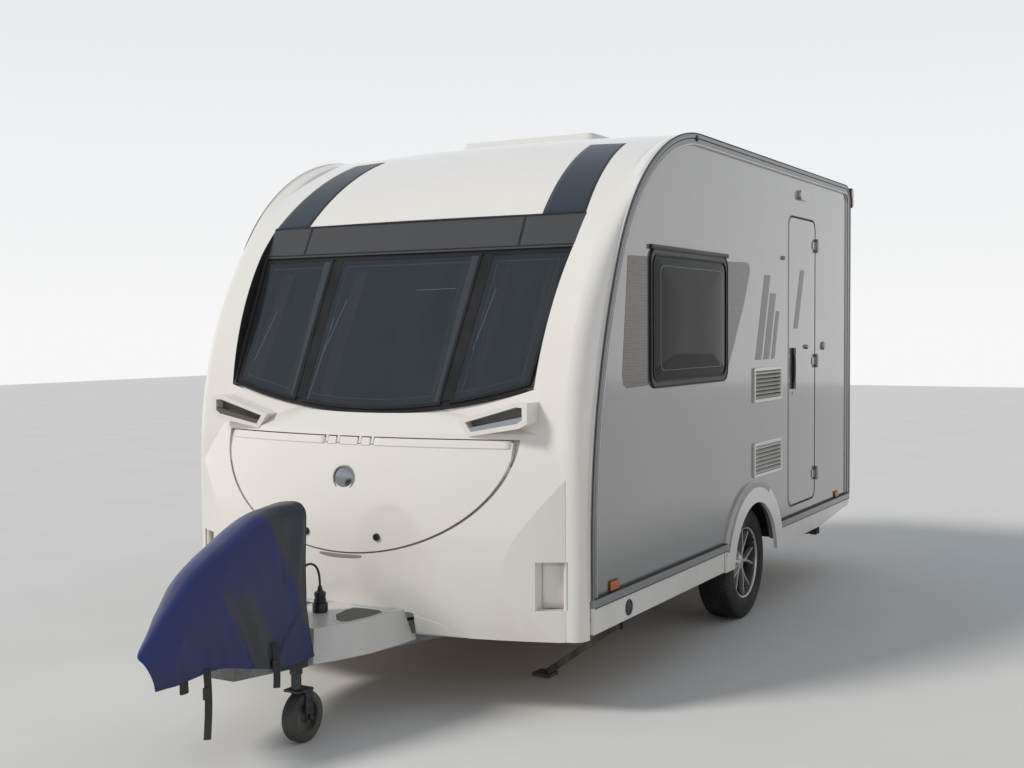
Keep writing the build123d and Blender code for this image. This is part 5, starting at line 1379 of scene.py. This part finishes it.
# x from and to, half width along y, lower end and height of a buckle's two plates, from its middle
BUCKLE_PLATES = ((-0.007, 0.006, 0.017, -0.022, 0.044), (-0.009, 0.008, 0.012, -0.006, 0.012))
SHORT_STRAP = 0.1
strap_parts, buckle_parts = [], []
for axle_y, x, low, high in STRAPS:
    y = axle_y + AXLE_Y
    z = np.linspace(high, low, 24)
    sway = 0.004 * np.sin((high - z) * 14)
    path = np.stack([x + sway * 0.6, y + sway, z], -1)
    strap_parts.append(carried(rounded(0.0026, 0.028, 0.0012, 3), path, up=(0.5, 0.87, 0)))
    buckle_z = low + 0.018 if high - low < SHORT_STRAP else high - 0.085
    buckle_parts += [slab(corners(x + x0, x + x1, y - half, y + half), 2, buckle_z + foot, tall)
                     for x0, x1, half, foot, tall in BUCKLE_PLATES]
strap_piece = piece("cover_strap_webbing", strap_parts, webbing, replaces=["cover_straps"])
piece("cover_buckles", buckle_parts, satin_black, bevel=0.003)

# %% [markdown]
# ## Plug, gland and fairing
# The parked plug is a stepped profile turned about an upright line, with fourteen small ribs round its foot.
# The plates on the fairing are flat outlines, drawn in or out from their own middle.

# %% Plug, gland and fairing
PLUG = (0.030, -2.550 + AXLE_Y, 0)
GLAND = (0.015, -2.712 + AXLE_Y, 0)
PLUG_SHAPE = mm((0, 543), (5.5, 543), (8.5, 541), (10, 530), (12.5, 521), (21.5, 517), (24.5, 512),
                (24.5, 500), (22.5, 498), (22.5, 490), (25.5, 488), (25.5, 474), (0, 474))
COLLAR_SHAPE = mm((29.5, 433), (32.5, 436), (32.5, 468), (30, 472.2), (0, 472.2), (0, 433))
GLAND_SHAPE = mm((13.5, 432.5), (16.5, 433.5), (16.5, 440), (12, 444), (8.5, 456), (6, 465), (0, 465),
                 (0, 432.5))
FAIR_TOP = 0.4325
TREAD_PLATE = mm((100, -2412), (160, -2402), (240, -2404), (274, -2430), (276, -2530), (250, -2650),
                 (222, -2676), (180, -2650), (116, -2570), (96, -2470))
FRONT_PLATE = mm((45, -2325), (285, -2325), (262, -2378), (60, -2382))
# name, outline, its size, height over the fairing's top, thickness, finish, bevel
FAIRING_PLATES = (("fairing_tread_plates", TREAD_PLATE, 0.90, 0.0, 0.0022, tread_grey, 0.001),
                  ("fairing_tread_rims", TREAD_PLATE, 1.04, -0.0005, 0.0014, fairing_skin, 0.0005),
                  ("fairing_front_insets", FRONT_PLATE, 1.0, 0.0, 0.001, inset_blue, 0.0))
plug_ribs = [slab(ring(0.0022, 6) + PLUG[:2] + rib_at, 2, 0.476, 0.010) for rib_at in ring(0.0235, 14)]
piece("plug_body", [lathe(PLUG_SHAPE, PLUG, axis=2)] + plug_ribs, satin_black,
      replaces=["plug"])
piece("plug_park_collar", [lathe(COLLAR_SHAPE, PLUG, axis=2), lathe(GLAND_SHAPE, GLAND, axis=2, sides=32)],
      satin_black)
for name, outline, size, lift, thick, finish, bevel in FAIRING_PLATES:
    middle = outline.mean(axis=0)
    flat = middle + (outline - middle) * size + [0, AXLE_Y]
    piece(name, [slab(flat * [side, 1], 2, FAIR_TOP + lift, thick) for side in PAIR], finish,
          bevel=bevel)

# %% [markdown]
# ## Roof hatch, rear lamps and rear plate
# Plates with rounded corners make the lamps: a dark bezel and cells of coloured plastic that stand a few
# millimetres proud of it. The parts of one colour are gathered first and become one piece at the end.

# %% Roof hatch, rear lamps and rear plate
HATCH_X, HATCH_Y, HATCH_TOP = -0.100, -0.200 + AXLE_Y, 2.6592
REAR_Y = 1.873 + AXLE_Y
REAR_LAMP_X = 0.870
CORNER_LAMP = (1.908, 2.474)
GLASS = {"red": red_lens, "orange": orange_lens, "clear": clear_lens}
REAR_CELLS = (("red", 0.640, 0.780), ("orange", 0.790, 0.870), ("clear", 0.880, 0.980))
CORNER_CELLS = (("red", 2.418, 2.470), ("clear", 2.474, 2.530))
hatch_ribs = [corners(HATCH_X - 0.34, HATCH_X + 0.34, y - 0.012, y + 0.012)
              for y in HATCH_Y + np.linspace(-0.24, 0.24, 7)]
piece("hatch_ribs", [slab(rib, 2, HATCH_TOP, 0.0007) for rib in hatch_ribs], hatch_white,
      bevel=0.0003)

lamp_cells, lamp_bezels = {name: [] for name in GLASS}, []
for side in PAIR:
    x = side * REAR_LAMP_X
    for name, low, high in REAR_CELLS:
        cell = rounded(0.112, high - low, 0.012) + [x, (low + high) / 2]
        lamp_cells[name].append(slab(cell, 1, REAR_Y + 0.0275, 0.0045))
    lamp_bezels.append(slab(rounded(0.144, 0.384, 0.020) + [x, 0.81], 1, REAR_Y, 0.029))
    for name, low, high in CORNER_CELLS:
        cell = rounded(0.036, high - low, 0.012) + [CORNER_LAMP[0], (low + high) / 2]
        lamp_cells[name].append(side_plate(cell, 1.030, 0.034, side))
    lamp_bezels.append(side_plate(rounded(0.048, 0.132, 0.020) + CORNER_LAMP, 0.960, 0.098, side))
piece("rear_lamp_bezels", lamp_bezels, satin_black, bevel=0.002)
for name, finish in GLASS.items():
    piece("rear_lamp_" + name, lamp_cells[name], finish, bevel=0.001)
blank_plate = rounded(0.520, 0.112, 0.008) + [0, 0.665]
piece("blank_plate", [slab(blank_plate, 1, REAR_Y + 0.012, 0.0015)], plate_cream,
      bevel=0.0005)
